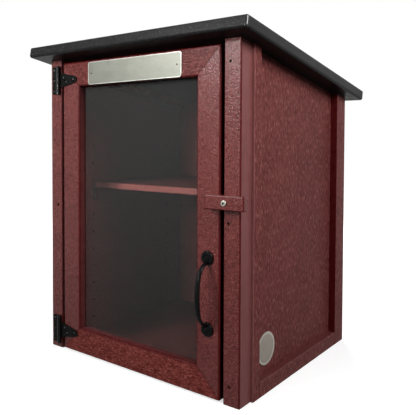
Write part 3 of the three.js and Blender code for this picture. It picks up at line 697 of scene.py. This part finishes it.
def floor_board():
    """The floor is notched round the posts."""
    piece = start_board("floor_board", "floor_panel", Z)
    low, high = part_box("floor_panel")
    post_low, post_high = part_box("right_corner_post")
    for sign in (-1, 1):
        inner = sign * (post_low.x - SEAM)
        outer = sign * (high.x + OVERRUN)
        notch = block(
            "notch", (min(inner, outer), low.y - OVERRUN, low.z - OVERRUN),
            (max(inner, outer), post_high.y + SEAM, high.z + OVERRUN),
        )
        paint(notch, EDGE)
        combine(piece, notch, "DIFFERENCE")
    paint(piece, INSIDE_OR_PAINTED_LIGHT, lambda face: face.normal.z > 0.9)
    finish_board(piece, "floor_panel")


SHELF_CORNER = 0.005
SHELF_EDGE = 0.0012


def shelf_board():
    """The shelf, with rounded front corners and soft edges."""
    # The shelf's edges take the back wall's lighter finish, a painted light
    piece = start_board("shelf_board", "shelf_panel", Z, finishes=RED_SHELF_PAINTED_LIGHT_BOARD)
    shelf_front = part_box("shelf_panel")[0].y
    paint(piece, INSIDE_OR_PAINTED_LIGHT, lambda face: abs(face.normal.z) > 0.9)
    ease(
        piece, lambda edge: runs_along(edge, Z) and middle(edge).y < shelf_front + NEAR,
        SHELF_CORNER, 6, EDGE,
    )
    finish_board(piece, "shelf_panel", edge=SHELF_EDGE)


def hidden_boards():
    """The rail behind the head of the door, and the cleats under the roof."""
    finish_board(start_board("head_rail_board", "head_rail", Y, under_roof=True), "head_rail")
    for side in ("left", "right"):
        source = side + "_roof_cleat"
        piece = start_board(side + "_cleat_board", source, X, under_roof=True)
        low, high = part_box(source)
        drop = (high.y - low.y) * math.tan(ROOF_PITCH)
        slice_off(piece, (0, low.y, low.z + drop), -ROOF_UP)
        paint(piece, EDGE, lambda face: abs(face.normal.x) < 0.9)
        finish_board(piece, source)


ROOF_CORNER = 0.0046
ROOF_LOWER_EDGE = 0.0065
ROOF_UPPER_EDGE = 0.0027


def roof_slab():
    """The slab is shaped flat and then laid on the sloping tops of the walls."""
    half_width = CASE_HALF_WIDTH + ROOF_SIDE_OVERHANG
    length = (REAR - FRONT) / math.cos(ROOF_PITCH)
    low = (-half_width, -ROOF_FRONT_OVERHANG, 0)
    high = (half_width, length + ROOF_REAR_OVERHANG, ROOF_THICKNESS)
    piece = block("roof_slab", low, high, CHARCOAL_BOARD)
    paint(piece, EDGE, lambda face: abs(face.normal.x) > 0.9)
    ease(piece, lambda edge: runs_along(edge, Z), ROOF_CORNER, 6, ARRIS)
    ease(piece, lambda edge: is_sharp(edge) and middle(edge).z < NEAR, ROOF_LOWER_EDGE, 6)
    ease(
        piece, lambda edge: is_sharp(edge) and middle(edge).z > ROOF_THICKNESS - NEAR,
        ROOF_UPPER_EDGE, 4,
    )
    piece.location = (0, FRONT, CASE_TOP)
    piece.rotation_euler = (-ROOF_PITCH, 0, 0)
    settle_place(piece)
    smooth(piece)
    hand_over(piece, "case", "roof_board", "roof_panel")


# Door
REBATE_WIDTH = 0.009
REVEAL_DEPTH = 0.0127
DOOR_FRAME_EDGE = 0.003
PANE_EDGE = 0.0004


def door_member(name, source, outer, along, finishes):
    """A mitred frame member. Outer points out of the door, and along runs with its length."""
    outer = Vector(outer)
    along = Vector(along)
    low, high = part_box(source)
    piece = block(name, low, high, finishes)
    paint(piece, EDGE, lambda face: abs(face.normal.y) < 0.9)

    # The rebate for the pane
    rebate_low = low.copy()
    rebate_high = high.copy()
    rebate_low.y = FRONT + REVEAL_DEPTH
    rebate_high.y += OVERRUN
    for axis in (X, Z):
        if outer[axis] > 0:
            rebate_high[axis] = low[axis] + REBATE_WIDTH
            rebate_low[axis] -= OVERRUN
        elif outer[axis] < 0:
            rebate_low[axis] = high[axis] - REBATE_WIDTH
            rebate_high[axis] += OVERRUN
        else:
            rebate_low[axis] -= OVERRUN
            rebate_high[axis] += OVERRUN
    rebate = block("rebate", rebate_low, rebate_high)
    paint(rebate, EDGE)
    combine(piece, rebate, "DIFFERENCE")

    # The foot of the door keeps a sharp edge, and the side in the gap at the right takes painted shade
    length_axis = Z if along.z else X
    sharp_below = low.z + NEAR if outer.z < 0 else 0
    if outer.x > 0.9:
        paint(piece, SHADED, lambda face: face.normal.x > 0.9)
    ease(
        piece, lambda edge: at_front(edge, length_axis) and middle(edge).z > sharp_below,
        DOOR_FRAME_EDGE, 4, ARRIS,
    )

    # The mitres
    for end in (-1, 1):
        corner = Vector((0, 0, 0))
        for axis in (X, Z):
            side = outer[axis] + end * along[axis]
            corner[axis] = high[axis] if side > 0 else low[axis]
        slice_off(piece, corner, end * along - outer)
    paint(piece, EDGE, lambda face: abs(face.normal.x) > 0.6 and abs(face.normal.z) > 0.6)
    ease(piece, is_sharp, FINE_EDGE, 2, ARRIS)
    smooth(piece)
    hand_over(piece, "door", "red_board", source)


def door_frame():
    """Two stiles and two rails round the pane."""
    door_member("left_stile", "door_left_stile", (-1, 0, 0), (0, 0, 1), RED_BOARD)
    door_member("right_stile", "door_right_stile", (1, 0, 0), (0, 0, 1), RED_BOARD)
    # The bottom rail is painted lighter and warmer, a painted reflection of the floor
    door_member("bottom_rail", "door_bottom_rail", (0, 0, -1), (1, 0, 0), RED_LOW_RAIL_PAINTED_REFLECTION_BOARD)
    door_member("top_rail", "door_top_rail", (0, 0, 1), (1, 0, 0), RED_RAIL_BOARD)


def glazing():
    """The pane and the beads that hold it."""
    low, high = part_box("door_pane")
    pane = block("pane_sheet", low, high, (PANE,))
    ease(pane, is_sharp, PANE_EDGE, 2)
    smooth(pane)
    hand_over(pane, "door", "clear_pane", "door_pane")
    for side in ("left", "right", "top", "bottom"):
        source = side + "_pane_bead"
        finish_board(start_board(side + "_glazing_bead", source, Y), source, "door", PANEL_EDGE)


# Hinges
PLATE_THICKNESS = 0.0018
PLATE_BACK = FRONT - SEAM
PLATE_FRONT = PLATE_BACK - PLATE_THICKNESS
PLATE_EDGE = 0.0004
HINGE_X, HINGE_Y = centre_of("upper_hinge_pin").xy
HINGE_HEIGHTS = {which: centre_of(which + "_hinge_pin").z for which in ("upper", "lower")}
KNUCKLE_RADIUS = 0.0036
KNUCKLE_EDGE = 0.0006
KNUCKLE_GAP = 0.0004
PIN_RADIUS = 0.003
PIN_DOME = 0.0009
LEAF_HALF = 0.0257
LEAF_WIDTH = 0.019
LEAF_CORNER = 0.0016
LEAF_SCREWS = {"top": 0.020, "middle": 0.0, "bottom": -0.020}
LEAF_SCREW_X = HINGE_X - 0.014
STRAP_ROOT_HALF = 0.0135
STRAP_SHOULDER = 0.007
STRAP_NECK = 0.0425
STRAP_TIP = 0.0495
STRAP_SCREWS = {"top": (0.0128, 0.0048), "bottom": (0.020, -0.0035), "tip": (0.040, 0.0006)}

# Reach from the pin and half height, where the strap's outline bends
STRAP_TAPER = ((STRAP_NECK, 0.0066), (STRAP_TIP, 0.0040))

# Reach from the pin, radius and steps of each rounding of that outline
STRAP_ROUNDINGS = ((STRAP_TIP, 0.0038, 6), (STRAP_NECK, 0.0030, 4), (STRAP_SHOULDER, 0.003, 3))

# Sunk screws of the hinges
HINGE_SINK_RADIUS = 0.0044
HINGE_SINK_DEPTH = 0.0015
HINGE_SCREW_RADIUS = 0.0018
HINGE_SCREW_LIFT = 0.0003


def countersink(piece, x, z):
    """A countersunk hole through a hinge plate, its walls painted near black as painted shade."""
    mouth = (x, PLATE_FRONT - SEAM, z)
    bottom = (x, PLATE_FRONT + HINGE_SINK_DEPTH, z)
    sink = cone("sink", mouth, bottom, HINGE_SINK_RADIUS, HINGE_SCREW_RADIUS + SEAM, 32)
    paint(sink, HOLLOW)
    combine(piece, sink, "DIFFERENCE")


def knuckle(low, high, z):
    """One roll of a hinge round its pin, with eased rims."""
    roll = rod("knuckle", (HINGE_X, HINGE_Y, z + low), (HINGE_X, HINGE_Y, z + high), KNUCKLE_RADIUS, 40)
    ease(roll, is_sharp, KNUCKLE_EDGE, 3)
    paint(roll, WORN)
    return roll


def hinge_leaf(which, z):
    """The leaf on the post, with a roll at each end and room for the strap's roll between."""
    low = (HINGE_X - LEAF_WIDTH, PLATE_FRONT, z - LEAF_HALF)
    high = (HINGE_X, PLATE_BACK, z + LEAF_HALF)
    leaf = block(which + "_leaf_plate", low, high, HINGE_BLACK)
    outer = HINGE_X - LEAF_WIDTH
    ease(leaf, lambda edge: runs_along(edge, Y) and middle(edge).x < outer + NEAR, LEAF_CORNER, 4)
    ease(leaf, lambda edge: is_sharp(edge) and middle(edge).y < PLATE_FRONT + TOUCHING, PLATE_EDGE, 2)
    split = STRAP_ROOT_HALF + KNUCKLE_GAP
    relief = block(
        "relief", (HINGE_X - 2 * KNUCKLE_GAP - KNUCKLE_RADIUS, PLATE_FRONT - SHORT_OVERRUN, z - split),
        (HINGE_X + SHORT_OVERRUN, PLATE_BACK + SHORT_OVERRUN, z + split),
    )
    combine(leaf, relief, "DIFFERENCE")
    for rise in LEAF_SCREWS.values():
        countersink(leaf, LEAF_SCREW_X, z + rise)
    combine(leaf, knuckle(split, LEAF_HALF, z), "UNION")
    combine(leaf, knuckle(-LEAF_HALF, -split, z), "UNION")
    smooth(leaf)
    hand_over(leaf, "case", "black_steel", which + "_hinge_leaf")


def hinge_strap(which, z):
    """The strap starts as its root and is drawn out and tapered to a rounded tip."""
    low = (HINGE_X, PLATE_FRONT, z - STRAP_ROOT_HALF)
    high = (HINGE_X + STRAP_SHOULDER, PLATE_BACK, z + STRAP_ROOT_HALF)
    strap = block(which + "_strap_plate", low, high, HINGE_BLACK)
    alone(strap)
    bpy.ops.object.mode_set(mode="EDIT")
    pick("FACE", lambda face: face.normal.x > 0.9)
    half = STRAP_ROOT_HALF
    place = STRAP_SHOULDER
    for reach, new_half in STRAP_TAPER:
        bpy.ops.mesh.extrude_region_move(TRANSFORM_OT_translate={"value": (reach - place, 0, 0)})
        bpy.ops.transform.resize(
            value=(1, 1, new_half / half), center_override=(HINGE_X + reach, PLATE_BACK, z),
        )
        place, half = reach, new_half
    bpy.ops.object.mode_set(mode="OBJECT")
    for reach, radius, steps in STRAP_ROUNDINGS:
        corner = HINGE_X + reach
        ease(strap, lambda edge: runs_along(edge, Y) and abs(middle(edge).x - corner) < NEAR, radius, steps)
    ease(strap, lambda edge: is_sharp(edge) and middle(edge).y < PLATE_FRONT + TOUCHING, PLATE_EDGE, 2)
    for reach, rise in STRAP_SCREWS.values():
        countersink(strap, HINGE_X + reach, z + rise)
    combine(strap, knuckle(-STRAP_ROOT_HALF, STRAP_ROOT_HALF, z), "UNION")
    smooth(strap)
    hand_over(strap, "door", "black_steel", which + "_hinge_strap")


def hinge_pin(which, z):
    """The pin shows as a domed head at each end of the barrel."""
    source = which + "_hinge_pin"
    low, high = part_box(source)
    foot = (HINGE_X, HINGE_Y, low.z)
    top = (HINGE_X, HINGE_Y, high.z)
    pin = rod(which + "_pin", foot, top, PIN_RADIUS, 32, (BLACK_SHEEN,))
    ease(pin, is_sharp, PIN_DOME, 4)
    smooth(pin)
    hand_over(pin, "case", "black_steel", source)


# Screws. The rim and dish are shares of the head's radius, and the slot is a share of its depth.
HEAD_RIM = 0.16
HEAD_DISH_INSET = 0.40
HEAD_DISH_DEPTH = 0.08
SLOT_DEPTH = 0.6


def cross_screw(name, head, shank, depth, length, slot_width, slot_reach, finishes):
    """A countersunk cross-head screw at the origin, its head towards -Y."""
    screw = cone(name, (0, 0, 0), (0, depth, 0), head, shank, 32, finishes)
    ease(screw, lambda edge: is_sharp(edge) and middle(edge).y < TOUCHING, head * HEAD_RIM, 3)
    inset_face(screw, lambda face: face.normal.y < -0.99, head * HEAD_DISH_INSET, head * HEAD_DISH_DEPTH)
    stem = rod("stem", (0, depth / 2, 0), (0, length, 0), shank, 20)
    combine(screw, stem, "UNION")
    for width, height in ((slot_reach, slot_width), (slot_width, slot_reach)):
        groove = block(
            "groove", (-width, -SHORT_OVERRUN, -height), (width, depth * SLOT_DEPTH, height),
        )
        # The cross takes the screw's second finish, a painted shade
        paint(groove, SCREW_RECESS)
        combine(screw, groove, "DIFFERENCE")
    smooth(screw)
    return screw


def hinge_screws():
    """One screw, copied to each hole of the hinges and turned a little further each time."""
    # The heads are painted light grey as a painted highlight, and their crosses near black as painted shade
    master = cross_screw(
        "hinge_screw", head=HINGE_SCREW_RADIUS, shank=0.0016, depth=0.0020, length=0.012,
        slot_width=0.0003, slot_reach=0.0014, finishes=(SCREW_HEAD_PAINTED_HIGHLIGHT, BLACK_PAINTED_HOLLOW_SHADE),
    )
    turn = 0.3
    leaf_rows = [("leaf", row, "case", LEAF_SCREW_X, rise) for row, rise in LEAF_SCREWS.items()]
    strap_rows = [("strap", row, "door", HINGE_X + x, rise) for row, (x, rise) in STRAP_SCREWS.items()]
    for which, z in HINGE_HEIGHTS.items():
        for plate, row, body, x, rise in leaf_rows + strap_rows:
            place = (x, PLATE_FRONT - HINGE_SCREW_LIFT, z + rise)
            piece = copy_of(master, f"{which}_{plate}_fixing_{row}", place, (0, turn, 0))
            hand_over(piece, body, "black_steel", f"{which}_{plate}_screw_{row}")
            turn += 0.7
    bpy.data.objects.remove(master)


def post_screws():
    """The screws at the bottoms of the holes in the posts."""
    master = cross_screw(
        "post_screw", head=0.0022, shank=0.0012, depth=0.0016, length=0.020,
        slot_width=0.0003, slot_reach=0.0012, finishes=(ZINC, SOCKET_DARK),
    )
    turn = 0.5
    for side, row in (("right", "upper"), ("right", "middle"), ("right", "lower"), ("left", "middle")):
        source = side + "_post_screw_" + row
        centre = centre_of(source)
        place = (centre.x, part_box(source)[0].y, centre.z)
        piece = copy_of(master, side + "_post_fixing_" + row, place, (0, turn, 0))
        hand_over(piece, "case", "bright_steel", source)
        turn += 0.9
    bpy.data.objects.remove(master)


# Pull handle
PULL_X = centre_of("upper_pull_screw").x
PULL_FEET = (centre_of("upper_pull_screw").z, centre_of("lower_pull_screw").z)
PULL_MIDDLE = (PULL_FEET[0] + PULL_FEET[1]) / 2
FOOT_RADIUS = 0.011
FOOT_BACK = FRONT - SEAM
FOOT_FRONT = FOOT_BACK - 0.0045
FOOT_DISC_FRONT = FOOT_FRONT + 0.0012
FOOT_EDGE = 0.0018
FOOT_RING = 0.0022
BOSS_SLOPE = 0.0009
BOSS_HEIGHT = 0.0010
PULL_SINK_RADII = (0.0060, 0.0028)
PULL_SINK_LEAD = 0.0012
PULL_SINK_DEPTH = 0.0030
PULL_SCREW_DEPTH = 0.0010
BOW_SIDES = 16

# The front face of a foot is larger than this, in square metres
FOOT_FACE_AREA = 0.0001

# Distance from the door's face, rise from the middle, half width and half thickness of the bow
UPPER_STATIONS = (
    (-0.0020, 0.0480, 0.0034, 0.0030),
    (-0.0065, 0.0470, 0.0032, 0.0027),
    (-0.0120, 0.0445, 0.0031, 0.0025),
    (-0.0172, 0.0400, 0.0034, 0.0025),
    (-0.0213, 0.0340, 0.0038, 0.0026),
    (-0.0240, 0.0260, 0.0042, 0.0027),
    (-0.0260, 0.0150, 0.0045, 0.0028),
)
MIDDLE_STATION = (-0.0268, 0.0, 0.0046, 0.0029)
LOWER_STATIONS = tuple((y, -rise, *halves) for y, rise, *halves in reversed(UPPER_STATIONS))
BOW_STATIONS = (*UPPER_STATIONS, MIDDLE_STATION, *LOWER_STATIONS)


def pull_bow():
    """The bow is drawn out from a round end, one station after another."""
    places = [Vector((PULL_X, FRONT + y, PULL_MIDDLE + rise)) for y, rise, *halves in BOW_STATIONS]
    angles = []
    for index in range(len(places)):
        before = places[max(index - 1, 0)]
        after = places[min(index + 1, len(places) - 1)]
        way = after - before
        angles.append(math.atan2(way.z, way.y))
    bpy.ops.object.select_all(action="DESELECT")
    bpy.ops.mesh.primitive_circle_add(vertices=BOW_SIDES, radius=1, fill_type="NGON")
    bow = bpy.context.object
    bow.name = "pull_bow"
    width, thickness = BOW_STATIONS[0][2:]
    bow.scale = (width, thickness, 1)
    bow.rotation_euler = (angles[0] - math.pi / 2, 0, 0)
    bow.location = places[0]
    settle_place(bow)
    bpy.ops.object.mode_set(mode="EDIT")
    bpy.ops.mesh.select_all(action="SELECT")
    for index in range(1, len(places)):
        step = places[index] - places[index - 1]
        bpy.ops.mesh.extrude_region_move(TRANSFORM_OT_translate={"value": step})
        turn = angles[index] - angles[index - 1]
        turn = (turn + math.pi) % (2 * math.pi) - math.pi
        bpy.ops.transform.rotate(value=-turn, orient_axis="X", center_override=places[index])
        wider = BOW_STATIONS[index][2] / BOW_STATIONS[index - 1][2]
        thicker = BOW_STATIONS[index][3] / BOW_STATIONS[index - 1][3]
        bpy.ops.transform.resize(value=(wider, thicker, thicker), center_override=places[index])
    bpy.ops.mesh.select_all(action="SELECT")
    bpy.ops.mesh.normals_make_consistent(inside=False)
    bpy.ops.object.mode_set(mode="OBJECT")
    return bow


def pull_foot(z):
    """A round foot: a disc with a soft rim and a raised boss."""
    foot = rod("pull_foot", (PULL_X, FOOT_BACK, z), (PULL_X, FOOT_DISC_FRONT, z), FOOT_RADIUS, 48)
    ease(
        foot, lambda edge: is_sharp(edge) and middle(edge).y < FOOT_DISC_FRONT + TOUCHING,
        FOOT_EDGE, 5,
    )
    alone(foot)
    bpy.ops.object.mode_set(mode="EDIT")
    pick("FACE", lambda face: face.normal.y < -0.99 and face.calc_area() > FOOT_FACE_AREA)
    bpy.ops.mesh.inset(thickness=FOOT_RING, depth=0)
    bpy.ops.mesh.inset(thickness=BOSS_SLOPE, depth=BOSS_HEIGHT)
    bpy.ops.object.mode_set(mode="OBJECT")
    return foot


def pull_handle():
    """The bow on its two feet, with a screw sunk in each foot."""
    handle = pull_bow()
    handle.data.materials.append(BLACK_GLOSS)
    for z in PULL_FEET:
        combine(handle, pull_foot(z), "UNION")
    for z in PULL_FEET:
        mouth = (PULL_X, FOOT_FRONT - PULL_SINK_LEAD, z)
        bottom = (PULL_X, FOOT_FRONT + PULL_SINK_DEPTH, z)
        combine(handle, cone("sink", mouth, bottom, *PULL_SINK_RADII), "DIFFERENCE")
    smooth(handle, 40)
    hand_over(handle, "door", "black_casting", "pull_handle")
    # The screws' crosses are painted near black as painted shade
    master = cross_screw(
        "pull_screw", head=0.0036, shank=0.0019, depth=0.0022, length=0.013,
        slot_width=0.0005, slot_reach=0.0024, finishes=(BLACK_SHEEN, BLACK_PAINTED_HOLLOW_SHADE),
    )
    for which, z, turn in (("upper", PULL_FEET[0], 0.35), ("lower", PULL_FEET[1], 0.75)):
        place = (PULL_X, FOOT_FRONT + PULL_SCREW_DEPTH, z)
        piece = copy_of(master, which + "_pull_fixing", place, (0, turn, 0))
        hand_over(piece, "door", "black_steel", which + "_pull_screw")
    bpy.data.objects.remove(master)


# Turn button with its screw and washer
BUTTON_X = centre_of("button_screw").x
BUTTON_Z = centre_of("button_screw").z
BUTTON_EDGE = 0.0015
BUTTON_BORE_RADIUS = 0.00275
PAN_HEAD_RADIUS = 0.0046
PAN_HEAD_HEIGHT = 0.003
PAN_HEAD_DOME = 0.0014
HEX_RADIUS = 0.0021
HEX_DEPTH = 0.0018
BUTTON_STEM_RADIUS = 0.0024
WASHER_RADIUS = 0.007
WASHER_BORE_RADIUS = 0.0026
WASHER_EDGE = 0.0002


def button_rod(name, start, end, radius, sides, finishes=()):
    """A round solid about the axis of the button's screw, from one depth to another."""
    return rod(name, (BUTTON_X, start, BUTTON_Z), (BUTTON_X, end, BUTTON_Z), radius, sides, finishes)


def turn_button():
    """The block that is turned across the edge of the door."""
    low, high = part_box("turn_button")
    piece = block("turn_button_block", low, high, RED_BOARD)
    # The top edges take the lighter planed red and the rest the dark arris red: a painted highlight where
    # light falls from above
    ease(piece, lambda edge: middle(edge).z > high.z - NEAR, BUTTON_EDGE, 4, EDGE)
    ease(piece, is_sharp, BUTTON_EDGE, 4, ARRIS)
    bore = button_rod("bore", low.y - OVERRUN, high.y + OVERRUN, BUTTON_BORE_RADIUS, 32)
    paint(bore, ARRIS)
    combine(piece, bore, "DIFFERENCE")
    smooth(piece)
    hand_over(piece, "turn_button", "red_board", "turn_button")


def button_fixing():
    """The pan-head screw with its hexagon socket."""
    low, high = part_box("button_screw")
    head_back = low.y + PAN_HEAD_HEIGHT
    head = button_rod("button_fixing", low.y, head_back, PAN_HEAD_RADIUS, 40, (ZINC, SOCKET_DARK))
    ease(head, lambda edge: is_sharp(edge) and middle(edge).y < low.y + CLOSE, PAN_HEAD_DOME, 5)
    socket = button_rod("socket", low.y - SHORT_OVERRUN, low.y + HEX_DEPTH, HEX_RADIUS, 6)
    paint(socket, SCREW_RECESS)
    combine(head, socket, "DIFFERENCE")
    stem = button_rod("stem", head_back - CLOSE, high.y, BUTTON_STEM_RADIUS, 24)
    combine(head, stem, "UNION")
    smooth(head)
    hand_over(head, "case", "bright_steel", "button_screw")


def button_washer():
    """The washer between the turn button and the post."""
    low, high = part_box("button_washer")
    washer = button_rod("button_spacer", low.y, high.y, WASHER_RADIUS, 40, (BLACK_PAINT,))
    bore = button_rod("bore", low.y - SHORT_OVERRUN, high.y + SHORT_OVERRUN, WASHER_BORE_RADIUS, 24)
    combine(washer, bore, "DIFFERENCE")
    ease(washer, is_sharp, WASHER_EDGE, 2)
    smooth(washer)
    hand_over(washer, "case", "black_steel", "button_washer")


# Bare plates. A rim's rise is negative because the face inside it is sunk.
SIGN_CORNER = 0.005
SIGN_EDGE = 0.0003
SIGN_RIM_WIDTH = 0.0011
SIGN_RIM_RISE = -0.00015
SIGN_PINS = {"left": -0.1027, "right": 0.0963}
SIGN_PIN_HEIGHT = 0.5152
SIGN_PIN_RADIUS = 0.0013
SIGN_PIN_RISE = 0.0007
SIGN_PIN_DEPTH = 0.004
SIGN_PIN_DOME = 0.0006
DISC_EDGE = 0.0004
DISC_RIM_WIDTH = 0.0032
DISC_RIM_RISE = -0.00025


def sign_plate():
    """The bare plate on the top rail, with the two small pins that hold it."""
    low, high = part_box("sign_plate")
    plate = block("sign_plate_sheet", low, high, (BRUSHED_RIM, BRUSHED))
    ease(plate, lambda edge: runs_along(edge, Y), SIGN_CORNER, 8)
    ease(plate, lambda edge: is_sharp(edge) and middle(edge).y < low.y + TOUCHING, SIGN_EDGE, 2)
    inset_face(plate, lambda face: face.normal.y < -0.99, SIGN_RIM_WIDTH, SIGN_RIM_RISE, SHEET_FACE)
    smooth(plate)
    hand_over(plate, "door", "brushed_plate", "sign_plate")
    for name, x in SIGN_PINS.items():
        front = (x, low.y - SIGN_PIN_RISE, SIGN_PIN_HEIGHT)
        back = (x, high.y + SIGN_PIN_DEPTH, SIGN_PIN_HEIGHT)
        pin = rod("sign_pin_" + name, front, back, SIGN_PIN_RADIUS, 20, (RED_ARRIS,))
        ease(pin, lambda edge: is_sharp(edge) and middle(edge).y < low.y, SIGN_PIN_DOME, 4)
        smooth(pin)
        hand_over(pin, "door", "brushed_plate")


def round_disc():
    """The bare disc on the right side panel."""
    low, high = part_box("round_plate")
    centre = centre_of("round_plate")
    radius = (high.z - low.z) / 2
    back = (low.x, centre.y, centre.z)
    front = (high.x, centre.y, centre.z)
    disc = rod("round_disc", back, front, radius, 64, (DISC_RIM, DISC_FACE))
    ease(disc, lambda edge: is_sharp(edge) and middle(edge).x > high.x - TOUCHING, DISC_EDGE, 2)
    inset_face(disc, lambda face: face.normal.x > 0.99, DISC_RIM_WIDTH, DISC_RIM_RISE, SHEET_FACE)
    smooth(disc)
    hand_over(disc, "case", "brushed_plate", "round_plate")


def shelf_pins():
    """The CAD supports keep their shape and take a better finish."""
    for side in ("left", "right"):
        for column in ("front", "rear"):
            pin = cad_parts[side + "_" + column + "_shelf_pin"]
            pin.data.materials.clear()
            pin.data.materials.append(ZINC)


# Studio. Each lamp has a name, a place, a target, a width, a height, a power and a spread.
LAMPS = (
    ("front_lamp", (-0.30, -2.30, 1.00), (0.0, -0.18, 0.80), 0.9, 0.7, 2.0, 44),
    ("veil_lamp", (-0.46, -1.20, 0.95), (0.18, -0.18, 0.48), 0.16, 0.18, 4.9, 110),
    ("glint_lamp", (-0.06, -1.25, 0.61), (0.10, 0.165, 0.40), 0.03, 0.03, 0.36, 60),
    ("side_lamp", (1.02, -0.37, 0.94), (0.2, -0.05, 0.46), 0.42, 0.42, 12.5, 180),
    ("rim_lamp", (0.79, 0.83, 0.80), (0.2, -0.10, 0.50), 0.5, 0.4, 0.7, 180),
    ("back_lamp", (-0.80, 1.25, 0.95), (0.0, 0.10, 0.28), 0.6, 0.5, 22, 180),
)
WORLD_LIGHT = 0.10
FLOOR_SIZE = 40
FLOOR_DROP = 0.0006

# The floor's colour to the camera, and to light that meets it on the way from the object
FLOOR_GREY = (0.55, 0.55, 0.55, 1)
FLOOR_GREY_FELT = (0.12, 0.12, 0.12, 1)

# Distances where the floor's glow starts and stops to rise, and its strength at each
FLOOR_GLOW = (0.5, 1.6, 0.62, 1.0)


def seen_directly(tree, ray):
    """One for mirrored and transmitted rays that have met no dull surface on their way."""
    either = node(
        tree, "ShaderNodeMath", {"operation": "MAXIMUM"},
        n0=ray.outputs["Is Glossy Ray"], n1=ray.outputs["Is Transmission Ray"],
    )
    undimmed = node(
        tree, "ShaderNodeMath", {"operation": "LESS_THAN"}, n0=ray.outputs["Diffuse Depth"], n1=0.5,
    )
    both = node(
        tree, "ShaderNodeMath", {"operation": "MULTIPLY"}, n0=either.outputs[0], n1=undimmed.outputs[0],
    )
    return both.outputs[0]


def white_floor():
    """A pale floor: white to the camera beyond the object's soft shadow, and plain to other light."""
    bpy.ops.object.select_all(action="DESELECT")
    bpy.ops.mesh.primitive_plane_add(size=FLOOR_SIZE, location=(0, 0, -FLOOR_DROP))
    floor = bpy.context.object
    floor.name = "studio_floor"
    settle_place(floor)
    finish, tree, shader = new_finish("studio_floor")
    shader.inputs["Base Color"].default_value = FLOOR_GREY
    shader.inputs["Roughness"].default_value = 1.0
    shader.inputs["Specular IOR Level"].default_value = 0.0
    place = node(tree, "ShaderNodeTexCoord")
    distance = node(tree, "ShaderNodeVectorMath", {"operation": "LENGTH"}, n0=place.outputs["Object"])
    lift = spread(tree, distance.outputs["Value"], *FLOOR_GLOW)
    glow = node(tree, "ShaderNodeEmission", Strength=lift)
    seen = node(tree, "ShaderNodeAddShader", n0=shader.outputs[0], n1=glow.outputs[0])
    felt = node(tree, "ShaderNodeBsdfDiffuse", Color=FLOOR_GREY_FELT)
    mirrored = node(tree, "ShaderNodeEmission", Strength=lift)
    ray = node(tree, "ShaderNodeLightPath")
    to_camera = node(
        tree, "ShaderNodeMixShader", n0=ray.outputs["Is Camera Ray"], n1=felt.outputs[0], n2=seen.outputs[0],
    )
    final = node(
        tree, "ShaderNodeMixShader",
        n0=seen_directly(tree, ray), n1=to_camera.outputs[0], n2=mirrored.outputs[0],
    )
    tree.links.new(final.outputs[0], tree.nodes["Material Output"].inputs["Surface"])
    floor.data.materials.append(finish)


def white_world():
    """White to the camera and in metal and glass, and a plain soft light on the object."""
    world = bpy.data.worlds.new("studio")
    bpy.context.scene.world = world
    world.use_nodes = True
    tree = world.node_tree
    felt = tree.nodes["Background"]
    felt.inputs["Color"].default_value = (1, 1, 1, 1)
    felt.inputs["Strength"].default_value = WORLD_LIGHT
    seen = node(tree, "ShaderNodeBackground", Color=(1, 1, 1, 1), Strength=1.0)
    ray = node(tree, "ShaderNodeLightPath")
    bright = node(
        tree, "ShaderNodeMath", {"operation": "MAXIMUM"},
        n0=seen_directly(tree, ray), n1=ray.outputs["Is Camera Ray"],
    )
    mixed = node(
        tree, "ShaderNodeMixShader", n0=bright.outputs[0], n1=felt.outputs[0], n2=seen.outputs[0],
    )
    tree.links.new(mixed.outputs[0], tree.nodes["World Output"].inputs["Surface"])


def studio():
    """Plain colours, a white room and the lamps."""
    bpy.context.scene.view_settings.view_transform = "Standard"
    white_world()
    white_floor()
    for settings in LAMPS:
        lamp(*settings)


# The whole scene
camera()
studio()
for which, direction in (("left", -1), ("right", 1)):
    corner_post(which, direction)
    side_trims(which, direction)
    side_panel(which, direction)
back_board()
floor_board()
shelf_board()
hidden_boards()
roof_slab()
door_frame()
glazing()
for which, height in HINGE_HEIGHTS.items():
    hinge_leaf(which, height)
    hinge_strap(which, height)
    hinge_pin(which, height)
hinge_screws()
post_screws()
pull_handle()
turn_button()
button_fixing()
button_washer()
sign_plate()
round_disc()
shelf_pins()
